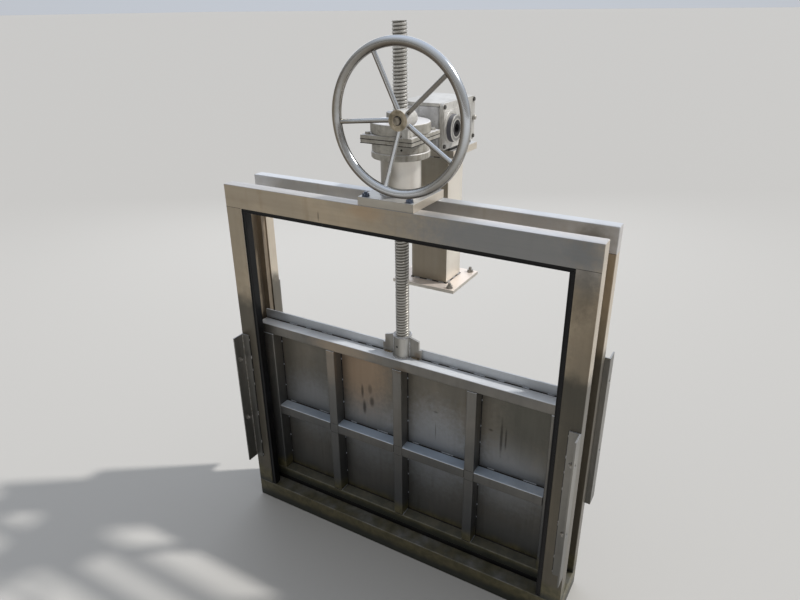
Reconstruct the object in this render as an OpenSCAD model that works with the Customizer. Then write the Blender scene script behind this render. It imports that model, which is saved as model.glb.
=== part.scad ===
// Rising-stem sluice gate in stainless steel, with its handwheel gearbox and a gear column behind it.
// Millimetres. X runs across the gate, Y from the stiffened front to the back, Z up.
// The origin is on the underside of the sill, straight below the stem.

/* [Frame] */
// Overall width of the frame
frame_w = 1314; // [1100:1:1800]
// Overall height of the frame, from sill underside to the top of the beams
frame_h = 1366; // [1300:1:1800]
// Width of each front post, seen from the front
post_w = 69; // [50:1:100]
// Height of the top beams
beam_h = 80; // [60:1:120]
// Height of the sill
sill_h = 80; // [40:1:120]
// Depth of the front frame, front to back
front_d = 48; // [40:1:80]
// Clear distance between the front frame and the rear frame
guide_gap = 109; // [100:1:140]
// Depth of the rear frame, front to back
rear_d = 42; // [30:1:80]
// Width of each rear post
rear_post_w = 36; // [30:1:60]
// Thickness of the plate that closes the guide slot at each side
web_t = 6; // [4:1:10]
// How far that plate stands in from the outer side of the posts
web_inset = 25; // [5:1:30]
// Thickness of the guide bar that runs behind each edge of the leaf
guide_bar_t = 8; // [5:1:12]
// How far the guide bar reaches in over the edge of the leaf
guide_bar_lap = 12; // [8:1:20]

/* [Rubber lining] */
// Thickness of the rubber lining under the top beam
lining_t = 14; // [8:1:20]
// Thickness of the rubber lining on the posts
lining_side_t = 16; // [8:1:20]
// Depth of the rubber lining, front to back
lining_d = 29; // [20:1:44]
// How far the lining sits back from the front face
lining_setback = 2; // [0:1:4]

/* [Side brackets] */
// Outer leg of the bracket, with the anchor holes
bracket_anchor_leg = 50; // [40:1:80]
// Inner leg of the bracket, on the post
bracket_post_leg = 35; // [25:1:60]
// Thickness of the bracket
bracket_t = 5; // [4:1:10]
// Length of the bracket
bracket_len = 570; // [400:1:700]
// Distance from the top of the frame down to the front brackets
bracket_front_drop = 585; // [450:1:700]
// Distance from the top of the frame down to the rear brackets
bracket_rear_drop = 428; // [300:1:700]
// How far the rear brackets reach out past the side of the frame
bracket_rear_out = 17; // [0:1:30]
// Radius of the anchor holes in the brackets
anchor_hole_r = 7; // [5:0.5:9]
// Distance from the top of a bracket to its upper anchor hole
anchor_hole_drop = 97; // [30:1:130]
// Distance between the two anchor holes of a bracket
anchor_hole_pitch = 267; // [150:1:350]
// Distance from the frame to the anchor holes
anchor_hole_out = 30; // [20:1:32]

/* [Leaf] */
// Gap at each side of the sliding leaf, up to the plate that closes the guide slot
leaf_side_gap = 10; // [5:1:16]
// Gap in front of the leaf, and behind it up to the guide bars
leaf_gap = 5; // [5:1:8]
// Thickness of the skin plate
plate_t = 6; // [5:1:12]
// Depth of the stiffeners in front of the skin plate
rib_d = 48; // [30:1:55]
// Width of the stiffeners that run up and down
rib_w = 36; // [20:1:60]
// Width of the two stiffeners at the sides of the leaf
end_rib_w = 50; // [30:1:60]
// How far those two stand in from the sides of the leaf
end_rib_inset = 16; // [5:1:30]
// Height of the stiffeners that run across
member_h = 40; // [20:1:60]
// Distance between the tops of the lower and the middle cross stiffener
lower_bay = 319; // [250:1:340]
// Distance between the tops of the middle and the upper cross stiffener
upper_bay = 361; // [250:1:380]
// How far the skin plate stands above the upper cross stiffener
upstand_h = 35; // [20:1:50]
// Height of the rubber strip under the leaf
foot_seal_h = 18; // [10:1:30]
// Gap left under that strip when the gate is shut
foot_seal_gap = 1; // [0.5:0.5:3]

/* [Stem] */
// Outside diameter of the threaded stem
stem_d = 46; // [36:1:52]
// Height of the top of the stem above the frame, gate shut
stem_rise = 519; // [320:1:700]
// Outside diameter of the socket that holds the stem
socket_d = 63; // [58:1:80]
// Height of the socket
socket_h = 79; // [76:1:110]
// Running gap between the stem and its nut
stem_fit = 0.1; // [0.05:0.05:0.3]
// Width of the gusset's foot, on each side of the socket
gusset_foot_w = 44; // [38:1:60]
// Width of the gusset above the skin plate
gusset_w = 35; // [16:1:37]
// Height of the gusset at the socket
gusset_h = 76; // [70:1:76]
// Height of the gusset at its outer corner
gusset_corner_h = 66; // [55:1:69]
// Thickness of the gusset
gusset_t = 8; // [5:1:12]

/* [Front gearbox] */
// Width of the base plate across the beams
base_plate_w = 196; // [180:1:240]
// Thickness of the base plate
base_plate_t = 27; // [15:1:40]
// Outside diameter of the pedestal tube
pedestal_d = 125; // [110:1:150]
// Wall of the pedestal tube
pedestal_wall = 8; // [4:1:20]
// Height of the pedestal tube
pedestal_h = 114; // [70:1:160]
// Diameter of the round lower housing
housing_d = 175; // [160:1:180]
// Height of the round lower housing
lower_housing_h = 48; // [40:1:80]
// Diameter of the rim round the foot of the lower housing
foot_rim_d = 179; // [176:1:200]
// Height of that rim
foot_rim_h = 20; // [6:1:30]
// Width of the square flange
flange_w = 174; // [160:1:200]
// Length of the square flange, front to back
flange_l = 178; // [170:1:200]
// Thickness of each of the two flange plates
flange_t = 12; // [8:1:20]
// Diameter of the drum above the flange
drum_d = 181; // [165:1:190]
// Height of the drum above the flange
drum_h = 33; // [32:1:50]
// Diameter of the cap that holds the stem nut
cap_d = 84; // [76:1:110]
// Height of the cap
cap_h = 26; // [18:1:40]
// Rounding of the upper edges of drum and cap
cast_round = 5; // [2:1:8]
// Clear radius left round the stem inside the gearbox
stem_clear = 5; // [5:1:8]

/* [Handwheel] */
// Sideways distance from the stem to the handwheel shaft
shaft_x = 72.6; // [65:0.1:75]
// Height of the handwheel shaft above the frame
shaft_rise = 270.2; // [262:0.1:300]
// Distance from the frame's front face to the plane of the handwheel
wheel_out = 40; // [38:1:80]
// Radius of the rim, measured to the middle of its tube
rim_r = 203.5; // [160:0.5:206]
// Diameter of the rim tube
rim_d = 28; // [20:1:32]
// Diameter of each spoke
spoke_d = 14; // [10:1:20]
// Number of spokes
spoke_n = 5; // [3:1:6]
// Angle of the first spoke above the horizontal
spoke_turn = 40.7; // [0:0.1:72]
// How far the spokes lean back from the rim to the hub
wheel_dish = 21; // [16:1:24]
// Diameter of the hub
hub_d = 57; // [50:1:66]
// Length of the hub along its shaft
hub_l = 34; // [32:1:38]
// Distance from the hub's front face to the plane of the handwheel
hub_front = 2; // [0:1:6]
// Diameter of the input shaft
shaft_d = 25; // [18:1:30]
// Diameter of the shaft end inside the hub
shaft_end_d = 14; // [12:1:15]
// Width across the corners of the hub nut
hub_nut_w = 22; // [20:1:26]
// Thickness of the hub nut
hub_nut_t = 8; // [5:1:12]
// Outside diameter of the case round the input shaft
case_d = 49; // [42:1:56]
// Length of the straight part of the case
case_len = 27; // [24:1:40]
// Width of the web that carries the case on the flange
case_web_w = 20; // [12:1:30]
// How far that web sits to the side of the shaft, towards the stem
case_web_shift = 8; // [0:1:8]
// How far that web reaches back past the straight part of the case
case_web_tail = 22; // [10:1:24]
// Length of the input shaft inside the case
shaft_in_case = 24; // [20:1:26]
// Gap between the hub and the case
case_gap = 3; // [2:0.5:4]
// Running gap between the shaft and the bore of the case
shaft_fit = 0.1; // [0.05:0.05:0.3]

/* [Rear column] */
// Distance from the top of the frame down to the column's foot
column_drop = 348; // [250:1:420]
// Distance from the rear frame to the column
column_gap = 90; // [80:1:120]
// Width of the column
column_w = 138; // [100:1:150]
// Depth of the column, front to back
column_d = 112; // [80:1:150]
// Wall of the column
column_wall = 5; // [3:1:10]
// Width of the column's foot plate
foot_plate_w = 240; // [200:1:300]
// Length of the column's foot plate
foot_plate_l = 208; // [180:1:260]
// Thickness of the column's foot plate
foot_plate_t = 12; // [8:1:20]
// Radius of the bolt holes in the foot plate
foot_hole_r = 8; // [5:0.5:10]
// Distance of the bolt holes from the sides of the foot plate
foot_hole_side = 23; // [15:1:40]
// Distance of the bolt holes from the front and rear edges of the foot plate
foot_hole_end = 18; // [14:1:30]
// Width of the column's head plate
head_plate_w = 176; // [150:1:220]
// Length of the column's head plate
head_plate_l = 184; // [150:1:220]
// Thickness of the column's head plate
head_plate_t = 24; // [12:1:30]
// How far the head plate reaches back from the column's centre more than forward
head_plate_shift = 32; // [0:1:34]
// Height of the head plate's top above the frame
head_rise = 130; // [110:1:140]

/* [Rear gearbox] */
// Width of the rear gear housing, without its cover
rear_box_w = 144; // [120:1:160]
// Length of the rear gear housing, front to back
rear_box_l = 234; // [200:1:240]
// Height of the rear gear housing
rear_box_h = 138; // [110:1:160]
// Distance from the column's centre to the middle of the housing, towards the frame
rear_box_shift = 15; // [0:1:20]
// Height of the foot under the rear gear housing
rear_foot_h = 15; // [8:1:40]
// Width of that foot
rear_foot_w = 128; // [100:1:140]
// Length of that foot
rear_foot_l = 136; // [100:1:140]
// Thickness of the cover plate on the side of the rear gear housing
cover_t = 12; // [8:1:20]
// How far the cover plate stands out round the edge of the housing
cover_lip = 2; // [0:1:8]
// Rounding of the corners of the rear gearbox
rear_round = 14; // [4:1:20]
// Diameter of the bearing ring on the cover
ring_d = 84; // [70:1:96]
// How far the bearing ring stands out of the cover
ring_h = 24; // [6:1:30]
// Radius of the bore in the bearing ring
input_bore_r = 15; // [8:1:20]
// Distance from the middle of the housing to the bearing ring's centre, towards the frame
ring_shift = 68.5; // [0:0.5:69]
// How far the bearing ring's centre lies below the middle of the housing
ring_drop = 7; // [0:1:14]
// Diameter of the tube that joins the two gearboxes
link_d = 28; // [20:1:31]

/* [Hidden] */
$fn = 96;

// Small overlap that keeps a cut clean
cut = 1;

// Planes of the two frames from front to back, with the stem at 0
frame_d = front_d + guide_gap + rear_d;
front_y = -frame_d / 2;
slot_front_y = front_y + front_d;
slot_rear_y = slot_front_y + guide_gap;
rear_y = frame_d / 2;

// Planes of the frame from the middle outwards
half_w = frame_w / 2;
post_in_x = half_w - post_w;
rear_post_in_x = half_w - rear_post_w;
web_out_x = half_w - web_inset;
web_in_x = web_out_x - web_t;
beam_z = frame_h - beam_h;

// Width of the leaf and the spacing of its upright stiffeners
leaf_w = 2 * (web_in_x - leaf_side_gap);
rib_pitch = (leaf_w / 2 - end_rib_inset - end_rib_w + rib_w / 2) / 2;

// Heights and planes of the leaf
leaf_z = sill_h + foot_seal_gap + foot_seal_h;
bottom_top_z = leaf_z + member_h;
middle_top_z = bottom_top_z + lower_bay;
upper_top_z = middle_top_z + upper_bay;
plate_top_z = upper_top_z + upstand_h;
leaf_front_y = slot_front_y + leaf_gap;
plate_y = leaf_front_y + rib_d;
plate_rear_y = plate_y + plate_t;
end_rib_in_x = 2 * rib_pitch - rib_w / 2;

// Heights of the front gearbox
base_top_z = frame_h + base_plate_t;
pedestal_top_z = base_top_z + pedestal_h;
housing_top_z = pedestal_top_z + lower_housing_h;
flange_mid_z = housing_top_z + flange_t;
flange_top_z = flange_mid_z + flange_t;
drum_top_z = flange_top_z + drum_h;
bore_r = stem_d / 2 + stem_clear;

// Place of the handwheel and its shaft
shaft_z = frame_h + shaft_rise;
wheel_y = front_y - wheel_out;
hub_front_y = wheel_y - hub_front;
hub_back_y = hub_front_y + hub_l;
case_y = hub_back_y + case_gap;
case_tail_y = case_y + case_len;
shaft_end_y = case_y + shaft_in_case;

// Place of the column and the rear gearbox
column_foot_z = frame_h - column_drop;
column_y = rear_y + column_gap + column_d / 2;
head_top_z = frame_h + head_rise;
head_z = head_top_z - head_plate_t;
rear_box_z = head_top_z + rear_foot_h;
rear_box_mid_z = rear_box_z + rear_box_h / 2;
rear_box_y = column_y - rear_box_shift;
link_z = flange_top_z + drum_h / 2;

// Box between two opposite corners
module block(low, high) {
    translate(low) cube(high - low);
}

// Rectangle centred on the origin, with round corners
module round_rect(size, r) {
    square([size.x - 2 * r, size.y], center = true);
    square([size.x, size.y - 2 * r], center = true);
    for (x = [-1, 1], y = [-1, 1])
        translate([x * (size.x / 2 - r), y * (size.y / 2 - r)]) circle(r, $fn = 32);
}

// Disc standing on z = 0 whose upper edge is rounded, with a bore
module cast_disc(d, h, r, hole_r) {
    rotate_extrude() {
        translate([hole_r, 0]) square([d / 2 - r - hole_r, h]);
        translate([hole_r, 0]) square([d / 2 - hole_r, h - r]);
        translate([d / 2 - r, h - r]) circle(r, $fn = 32);
    }
}

// Frame: side is -1 for the left and 1 for the right

module front_post(side) {
    color([0.62, 0.60, 0.56])
        block_x(side, post_in_x, half_w, front_y, slot_front_y, sill_h, beam_z);
}

module rear_post(side) {
    color([0.62, 0.60, 0.56])
        block_x(side, rear_post_in_x, half_w, slot_rear_y, rear_y, sill_h, beam_z);
}

// Box at one side, given by its distances from the middle
module block_x(side, x0, x1, y0, y1, z0, z1) {
    if (side > 0) block([x0, y0, z0], [x1, y1, z1]);
    else block([-x1, y0, z0], [-x0, y1, z1]);
}

module top_beam(y0, y1) {
    color([0.66, 0.65, 0.62])
        block([-half_w, y0, beam_z], [half_w, y1, frame_h]);
}

// Plate that closes the guide slot, with the bar that keeps the leaf from going back
module guide_web(side) {
    bar_y = plate_rear_y + leaf_gap;
    color([0.52, 0.48, 0.43]) {
        block_x(side, web_in_x, web_out_x, slot_front_y, slot_rear_y, sill_h, beam_z);
        block_x(side, leaf_w / 2 - guide_bar_lap, web_out_x, bar_y, bar_y + guide_bar_t, sill_h, beam_z);
    }
}

module sill_beam() {
    color([0.55, 0.53, 0.49])
        block([-half_w, front_y, 0], [half_w, rear_y, sill_h]);
}

module lining_side(side) {
    color([0.06, 0.06, 0.07])
        block_x(side, post_in_x - lining_side_t, post_in_x,
                front_y + lining_setback, front_y + lining_setback + lining_d,
                sill_h, beam_z - lining_t);
}

module lining_top() {
    color([0.06, 0.06, 0.07])
        block([-post_in_x, front_y + lining_setback, beam_z - lining_t],
              [post_in_x, front_y + lining_setback + lining_d, beam_z]);
}

// Side bracket: end is -1 for the front and 1 for the rear face of the frame,
// out is how far its outer leg stands past the side of the frame
module bracket(side, end, drop, out) {
    top_z = frame_h - drop;
    face_y = end < 0 ? front_y : rear_y;
    outer_x = half_w + out;
    color([0.50, 0.50, 0.50])
    difference() {
        union() {
            block_x(side, outer_x - bracket_t, outer_x,
                    min(face_y, face_y + end * bracket_anchor_leg),
                    max(face_y, face_y + end * bracket_anchor_leg),
                    top_z - bracket_len, top_z);
            block_x(side, half_w - bracket_post_leg, outer_x,
                    min(face_y, face_y + end * bracket_t),
                    max(face_y, face_y + end * bracket_t),
                    top_z - bracket_len, top_z);
        }
        for (z = [0, anchor_hole_pitch])
            translate([side * (outer_x - bracket_t / 2),
                       face_y + end * anchor_hole_out,
                       top_z - anchor_hole_drop - z])
                rotate([0, 90, 0])
                    cylinder(r = anchor_hole_r, h = bracket_t + 2 * cut, center = true);
    }
}

// Front gearbox

module gearbox_base_plate() {
    color([0.70, 0.70, 0.68])
    difference() {
        block([-base_plate_w / 2, front_y, frame_h], [base_plate_w / 2, rear_y, base_top_z]);
        translate([0, 0, frame_h - cut]) cylinder(r = bore_r, h = base_plate_t + 2 * cut);
    }
}

module pedestal_tube() {
    color([0.74, 0.72, 0.67])
    translate([0, 0, base_top_z])
    difference() {
        cylinder(d = pedestal_d, h = pedestal_h);
        translate([0, 0, -cut]) cylinder(d = pedestal_d - 2 * pedestal_wall, h = pedestal_h + 2 * cut);
    }
}

module lower_gear_housing() {
    color([0.72, 0.72, 0.70])
    translate([0, 0, pedestal_top_z])
    difference() {
        union() {
            cylinder(d = housing_d, h = lower_housing_h);
            cylinder(d = foot_rim_d, h = foot_rim_h);
        }
        translate([0, 0, -cut]) cylinder(r = bore_r, h = lower_housing_h + 2 * cut);
    }
}

module flange(z) {
    color([0.76, 0.76, 0.74])
    difference() {
        block([-flange_w / 2, -flange_l / 2, z], [flange_w / 2, flange_l / 2, z + flange_t]);
        translate([0, 0, z - cut]) cylinder(r = bore_r, h = flange_t + 2 * cut);
    }
}

module gear_drum() {
    color([0.74, 0.74, 0.72])
        translate([0, 0, flange_top_z]) cast_disc(drum_d, drum_h, cast_round, bore_r);
}

module stem_nut_cap() {
    color([0.80, 0.80, 0.78])
        translate([0, 0, drum_top_z]) cast_disc(cap_d, cap_h, cast_round, stem_d / 2 + stem_fit);
}

// Solid drum, to cut its neighbours round it
module drum_space() {
    translate([0, 0, flange_top_z]) cylinder(d = drum_d, h = drum_h);
}

module input_shaft_case() {
    web_x = shaft_x - case_web_shift;
    color([0.80, 0.80, 0.78])
    difference() {
        union() {
            translate([shaft_x, case_y, shaft_z])
                rotate([-90, 0, 0]) cylinder(d = case_d, h = case_tail_y - case_y);
            translate([shaft_x, case_tail_y, shaft_z]) sphere(d = case_d);
            block([web_x - case_web_w / 2, -flange_l / 2, flange_top_z],
                  [web_x + case_web_w / 2, case_tail_y + case_web_tail, shaft_z]);
        }
        drum_space();
        translate([shaft_x, case_y - cut, shaft_z])
            rotate([-90, 0, 0]) cylinder(d = shaft_d + 2 * shaft_fit, h = shaft_end_y + 2 * cut - case_y);
    }
}

// Tube that joins the two gearboxes
module gearbox_link_tube() {
    color([0.70, 0.70, 0.68])
    difference() {
        translate([0, 0, link_z])
            rotate([-90, 0, 0]) cylinder(d = link_d, h = rear_box_y - rear_box_l / 2);
        drum_space();
    }
}

// Rear column and gearbox

module rear_column() {
    color([0.66, 0.62, 0.55])
    translate([0, column_y, column_foot_z + foot_plate_t])
    linear_extrude(head_z - column_foot_z - foot_plate_t)
    difference() {
        square([column_w, column_d], center = true);
        square([column_w - 2 * column_wall, column_d - 2 * column_wall], center = true);
    }
}

module column_foot_plate() {
    color([0.78, 0.77, 0.75])
    translate([0, column_y, column_foot_z])
    difference() {
        translate([-foot_plate_w / 2, -foot_plate_l / 2, 0])
            cube([foot_plate_w, foot_plate_l, foot_plate_t]);
        for (x = [-1, 1], y = [-1, 1])
            translate([x * (foot_plate_w / 2 - foot_hole_side), y * (foot_plate_l / 2 - foot_hole_end), -cut])
                cylinder(r = foot_hole_r, h = foot_plate_t + 2 * cut);
    }
}

module column_head_plate() {
    color([0.70, 0.68, 0.64])
        translate([-head_plate_w / 2, column_y + head_plate_shift - head_plate_l / 2, head_z])
            cube([head_plate_w, head_plate_l, head_plate_t]);
}

module rear_gear_housing() {
    color([0.62, 0.64, 0.68]) {
        translate([0, rear_box_y, rear_box_z])
            linear_extrude(rear_box_h) round_rect([rear_box_w, rear_box_l], rear_round);
        translate([-rear_foot_w / 2, column_y + head_plate_shift - rear_foot_l / 2, head_top_z])
            cube([rear_foot_w, rear_foot_l, rear_foot_h]);
    }
}

// Cover plate on the right side of the rear housing, with its bearing ring
module rear_gear_cover() {
    color([0.76, 0.76, 0.75])
    translate([rear_box_w / 2, rear_box_y, rear_box_mid_z])
    rotate([0, 90, 0])
    difference() {
        union() {
            linear_extrude(cover_t)
                round_rect([rear_box_h + 2 * cover_lip, rear_box_l + 2 * cover_lip], rear_round);
            translate([ring_drop, -ring_shift, 0]) cylinder(d = ring_d, h = cover_t + ring_h);
        }
        translate([ring_drop, -ring_shift, -cut])
            cylinder(r = input_bore_r, h = cover_t + ring_h + 2 * cut);
    }
}

// Leaf

module leaf_plate() {
    color([0.58, 0.56, 0.52])
    difference() {
        block([-leaf_w / 2, plate_y, leaf_z], [leaf_w / 2, plate_rear_y, plate_top_z]);
        translate([0, 0, upper_top_z]) cylinder(d = socket_d, h = upstand_h + cut);
    }
}

// Stiffener across the leaf, between two distances from the middle, below its top
module member(x0, x1, top_z) {
    block([x0, leaf_front_y, top_z - member_h], [x1, plate_y, top_z]);
}

module leaf_top_member() {
    color([0.66, 0.66, 0.66]) member(-leaf_w / 2, leaf_w / 2, upper_top_z);
}

module leaf_bottom_member() {
    color([0.40, 0.38, 0.28]) member(-leaf_w / 2, leaf_w / 2, bottom_top_z);
}

// The middle stiffener is four pieces, one in each column of bays
module leaf_middle_member() {
    color([0.60, 0.60, 0.60])
    for (i = [-2 : 1]) {
        x0 = i == -2 ? -end_rib_in_x : i * rib_pitch + rib_w / 2;
        x1 = i == 1 ? end_rib_in_x : (i + 1) * rib_pitch - rib_w / 2;
        member(x0, x1, middle_top_z);
    }
}

// Upright stiffener between two distances from the middle
module rib(x0, x1) {
    block([x0, leaf_front_y, bottom_top_z], [x1, plate_y, upper_top_z - member_h]);
}

module leaf_ribs() {
    color([0.60, 0.57, 0.52])
    for (i = [-1 : 1]) rib(i * rib_pitch - rib_w / 2, i * rib_pitch + rib_w / 2);
}

module leaf_end_ribs() {
    color([0.60, 0.57, 0.52]) {
        rib(-end_rib_in_x - end_rib_w, -end_rib_in_x);
        rib(end_rib_in_x, end_rib_in_x + end_rib_w);
    }
}

module leaf_foot_seal() {
    color([0.06, 0.06, 0.07])
        block([-leaf_w / 2, leaf_front_y, leaf_z - foot_seal_h], [leaf_w / 2, plate_rear_y, leaf_z]);
}

// Stem and its socket

module stem_socket() {
    color([0.70, 0.69, 0.66])
    translate([0, 0, upper_top_z])
    difference() {
        cylinder(d = socket_d, h = socket_h);
        translate([0, 0, -cut]) cylinder(d = stem_d, h = socket_h + 2 * cut);
    }
}

// Gussets with a wide foot beside the upstand of the skin plate and a sloping top
module socket_gussets() {
    r = socket_d / 2;
    color([0.72, 0.71, 0.68])
    difference() {
        for (side = [0, 1]) mirror([side, 0, 0])
            translate([r / 2, plate_y, upper_top_z])
                rotate([90, 0, 0]) linear_extrude(gusset_t)
                    polygon([
                        [0, 0],
                        [r / 2 + gusset_foot_w, 0],
                        [r / 2 + gusset_foot_w, upstand_h],
                        [r / 2 + gusset_w, upstand_h],
                        [r / 2 + gusset_w, gusset_corner_h],
                        [r / 2, gusset_h],
                        [0, gusset_h]
                    ]);
        translate([0, 0, upper_top_z - cut]) cylinder(r = r, h = socket_h + 2 * cut);
    }
}

module stem() {
    color([0.72, 0.72, 0.70])
        translate([0, 0, upper_top_z]) cylinder(d = stem_d, h = frame_h + stem_rise - upper_top_z);
}

// Handwheel

module wheel_place() {
    translate([shaft_x, wheel_y, shaft_z]) rotate([90, 0, 0]) children();
}

module rim_ring() {
    rotate_extrude() translate([rim_r, 0]) circle(d = rim_d, $fn = 48);
}

module handwheel_rim() {
    color([0.82, 0.83, 0.85]) wheel_place() rim_ring();
}

module handwheel_spokes() {
    lean = atan(wheel_dish / rim_r);
    run = norm([rim_r, wheel_dish]);
    color([0.80, 0.80, 0.80])
    wheel_place()
    difference() {
        for (i = [0 : spoke_n - 1])
            rotate([0, 0, spoke_turn + i * 360 / spoke_n])
                translate([0, 0, -wheel_dish])
                    rotate([0, 90 - lean, 0])
                        translate([0, 0, hub_d / 4]) cylinder(d = spoke_d, h = run - hub_d / 4, $fn = 48);
        rim_ring();
        translate([0, 0, -wheel_dish]) cylinder(d = hub_d, h = 3 * spoke_d, center = true);
    }
}

module handwheel_hub() {
    color([0.56, 0.52, 0.44])
    translate([shaft_x, hub_front_y, shaft_z])
    rotate([-90, 0, 0])
    difference() {
        cylinder(d = hub_d, h = hub_l);
        translate([0, 0, -cut]) cylinder(d = shaft_end_d, h = hub_l + 2 * cut);
    }
}

// Six-sided nut on the shaft end
module hub_nut() {
    color([0.45, 0.42, 0.38])
    translate([shaft_x, hub_front_y, shaft_z])
    rotate([90, 0, 0])
    difference() {
        cylinder(d = hub_nut_w, h = hub_nut_t, $fn = 6);
        translate([0, 0, -cut]) cylinder(d = shaft_end_d, h = hub_nut_t + 2 * cut);
    }
}

module input_shaft() {
    color([0.66, 0.66, 0.66]) {
        translate([shaft_x, hub_front_y - hub_nut_t, shaft_z])
            rotate([-90, 0, 0]) cylinder(d = shaft_end_d, h = hub_l + hub_nut_t);
        translate([shaft_x, hub_back_y, shaft_z])
            rotate([-90, 0, 0]) cylinder(d = shaft_d, h = shaft_end_y - hub_back_y);
    }
}

front_post(-1);  // front_post_left
front_post(1);  // front_post_right
top_beam(front_y, slot_front_y);  // front_top_beam
rear_post(-1);  // rear_post_left
rear_post(1);  // rear_post_right
top_beam(slot_rear_y, rear_y);  // rear_top_beam
guide_web(-1);  // guide_web_left
guide_web(1);  // guide_web_right
sill_beam();
lining_side(-1);  // lining_left
lining_side(1);  // lining_right
lining_top();
bracket(-1, -1, bracket_front_drop, 0);  // bracket_front_left
bracket(1, -1, bracket_front_drop, 0);  // bracket_front_right
bracket(-1, 1, bracket_rear_drop, bracket_rear_out);  // bracket_rear_left
bracket(1, 1, bracket_rear_drop, bracket_rear_out);  // bracket_rear_right
gearbox_base_plate();
pedestal_tube();
lower_gear_housing();
flange(housing_top_z);  // lower_flange
flange(flange_mid_z);  // upper_flange
gear_drum();
stem_nut_cap();
input_shaft_case();
gearbox_link_tube();
rear_column();
column_foot_plate();
column_head_plate();
rear_gear_housing();
rear_gear_cover();
leaf_plate();
leaf_top_member();
leaf_middle_member();
leaf_bottom_member();
leaf_end_ribs();
leaf_ribs();
leaf_foot_seal();
stem_socket();
socket_gussets();
stem();
handwheel_rim();
handwheel_spokes();
handwheel_hub();
hub_nut();
input_shaft();
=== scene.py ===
# %% [markdown]
# # A rising-stem sluice gate
#
# The gate is a stainless steel frame with two faces, a stiffened leaf that slides between them,
# a threaded stem, a gearbox on a pedestal with its handwheel, and a second gearbox on a column.
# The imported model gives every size. This lesson keeps those sizes and adds what makes the gate
# look real: rounded edges, a cut thread, bolts, weld beads, brushed and weathered metal.

import math

import bmesh
import bpy
from mathutils import Matrix, Vector


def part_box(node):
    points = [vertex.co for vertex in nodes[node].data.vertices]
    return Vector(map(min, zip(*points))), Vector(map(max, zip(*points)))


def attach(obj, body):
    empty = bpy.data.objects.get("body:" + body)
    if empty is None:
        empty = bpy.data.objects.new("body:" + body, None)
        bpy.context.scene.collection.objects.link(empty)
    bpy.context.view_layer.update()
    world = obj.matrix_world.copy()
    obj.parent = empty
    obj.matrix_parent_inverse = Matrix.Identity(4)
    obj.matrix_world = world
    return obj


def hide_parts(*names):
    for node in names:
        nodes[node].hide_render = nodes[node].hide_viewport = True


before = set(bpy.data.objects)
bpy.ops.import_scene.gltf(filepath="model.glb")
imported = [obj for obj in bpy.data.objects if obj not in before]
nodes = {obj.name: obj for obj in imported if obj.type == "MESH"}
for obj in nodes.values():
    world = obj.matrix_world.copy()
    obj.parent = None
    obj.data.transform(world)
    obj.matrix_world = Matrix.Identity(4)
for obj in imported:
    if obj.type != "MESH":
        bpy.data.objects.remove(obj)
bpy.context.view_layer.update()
scene = bpy.context.scene
MM = 0.001
UP = (0, 0, 1)
print("pieces in the packed model:", len(nodes))


def mm(*values):
    """Millimetres as metres."""
    return tuple(v * MM for v in values)


def round_size(node):
    """Outer radius, height and foot of a round upright node."""
    low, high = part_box(node)
    return (high.x - low.x) / 2, high.z - low.z, Vector((0, 0, low.z))


# %% [markdown]
# ## The camera
#
# The camera stands to the right of the gate, above it, and looks down and to the left. A camera
# in Blender looks along its own -Z, with +X to its right and +Y up. So it is rolled first, then
# raised from looking straight down, then turned, and last moved to its place.

# %% Place the camera
CAMERA_AT = (0.984, -1.6945, 1.921)
CAMERA_TURN = math.radians(30.37)
CAMERA_TILT = math.radians(-24.54)
CAMERA_ROLL = math.radians(-0.65)
LENS = 28.97

camera_data = bpy.data.cameras.new("camera")
camera_data.sensor_width = 36
camera_data.lens = LENS
camera_data.clip_start = 0.05
camera_data.clip_end = 1000
camera = bpy.data.objects.new("camera", camera_data)
camera.matrix_world = (Matrix.Translation(CAMERA_AT) @ Matrix.Rotation(CAMERA_TURN, 4, "Z")
                       @ Matrix.Rotation(math.radians(90) + CAMERA_TILT, 4, "X")
                       @ Matrix.Rotation(CAMERA_ROLL, 4, "Z"))
scene.collection.objects.link(camera)
scene.camera = camera
print("camera stands at", CAMERA_AT)

# %% [markdown]
# ## A kit for shader nodes
#
# Shader nodes are added and joined hundreds of times in this lesson. Done one by one, that
# would hide what a finish is made of. So one function feeds an input, with a value or with a
# wire, and another adds a node, feeds its inputs and returns one of its outputs.


# %% Feed an input, add a node
def feed(tree, value, socket):
    """Wire another node's output to an input, or set the input to a plain value."""
    if isinstance(value, bpy.types.NodeSocket):
        tree.links.new(value, socket)
    elif socket.type == "RGBA":
        socket.default_value = (*value, 1)
    else:
        socket.default_value = value


def put(tree, kind, *values, out=0, **named):
    """Add a node. Values feed its inputs in order, and names with a capital feed the input
    of that name. Names in small letters set a property."""
    node = tree.nodes.new("ShaderNode" + kind)
    for key in filter(str.islower, named):
        setattr(node, key, named[key])
    for socket, value in zip(node.inputs, values):
        feed(tree, value, socket)
    for key in named:
        if not key.islower():
            feed(tree, named[key], node.inputs[key])
    return node.outputs[out]


def number(tree, operation, *values):
    return put(tree, "Math", *values, operation=operation)


def vector(tree, operation, *values):
    """One step with vectors; a dot product or a length is a number, at output 1."""
    out = 1 if operation in ("DOT_PRODUCT", "LENGTH") else 0
    return put(tree, "VectorMath", *values, operation=operation, out=out)


def to_range(tree, value, low, high, from_low=0.0, from_high=1.0):
    return put(tree, "MapRange", value, from_low, from_high, low, high)


def soft_step(tree, value, low, high):
    """0 below low, 1 above high, smooth between."""
    return put(tree, "MapRange", value, low, high, interpolation_type="SMOOTHSTEP")


def noise(tree, vector, scale, detail=2.0, roughness=0.5, distortion=0.0):
    return put(tree, "TexNoise", Vector=vector, Scale=scale, Detail=detail,
               Roughness=roughness, Distortion=distortion)


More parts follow.
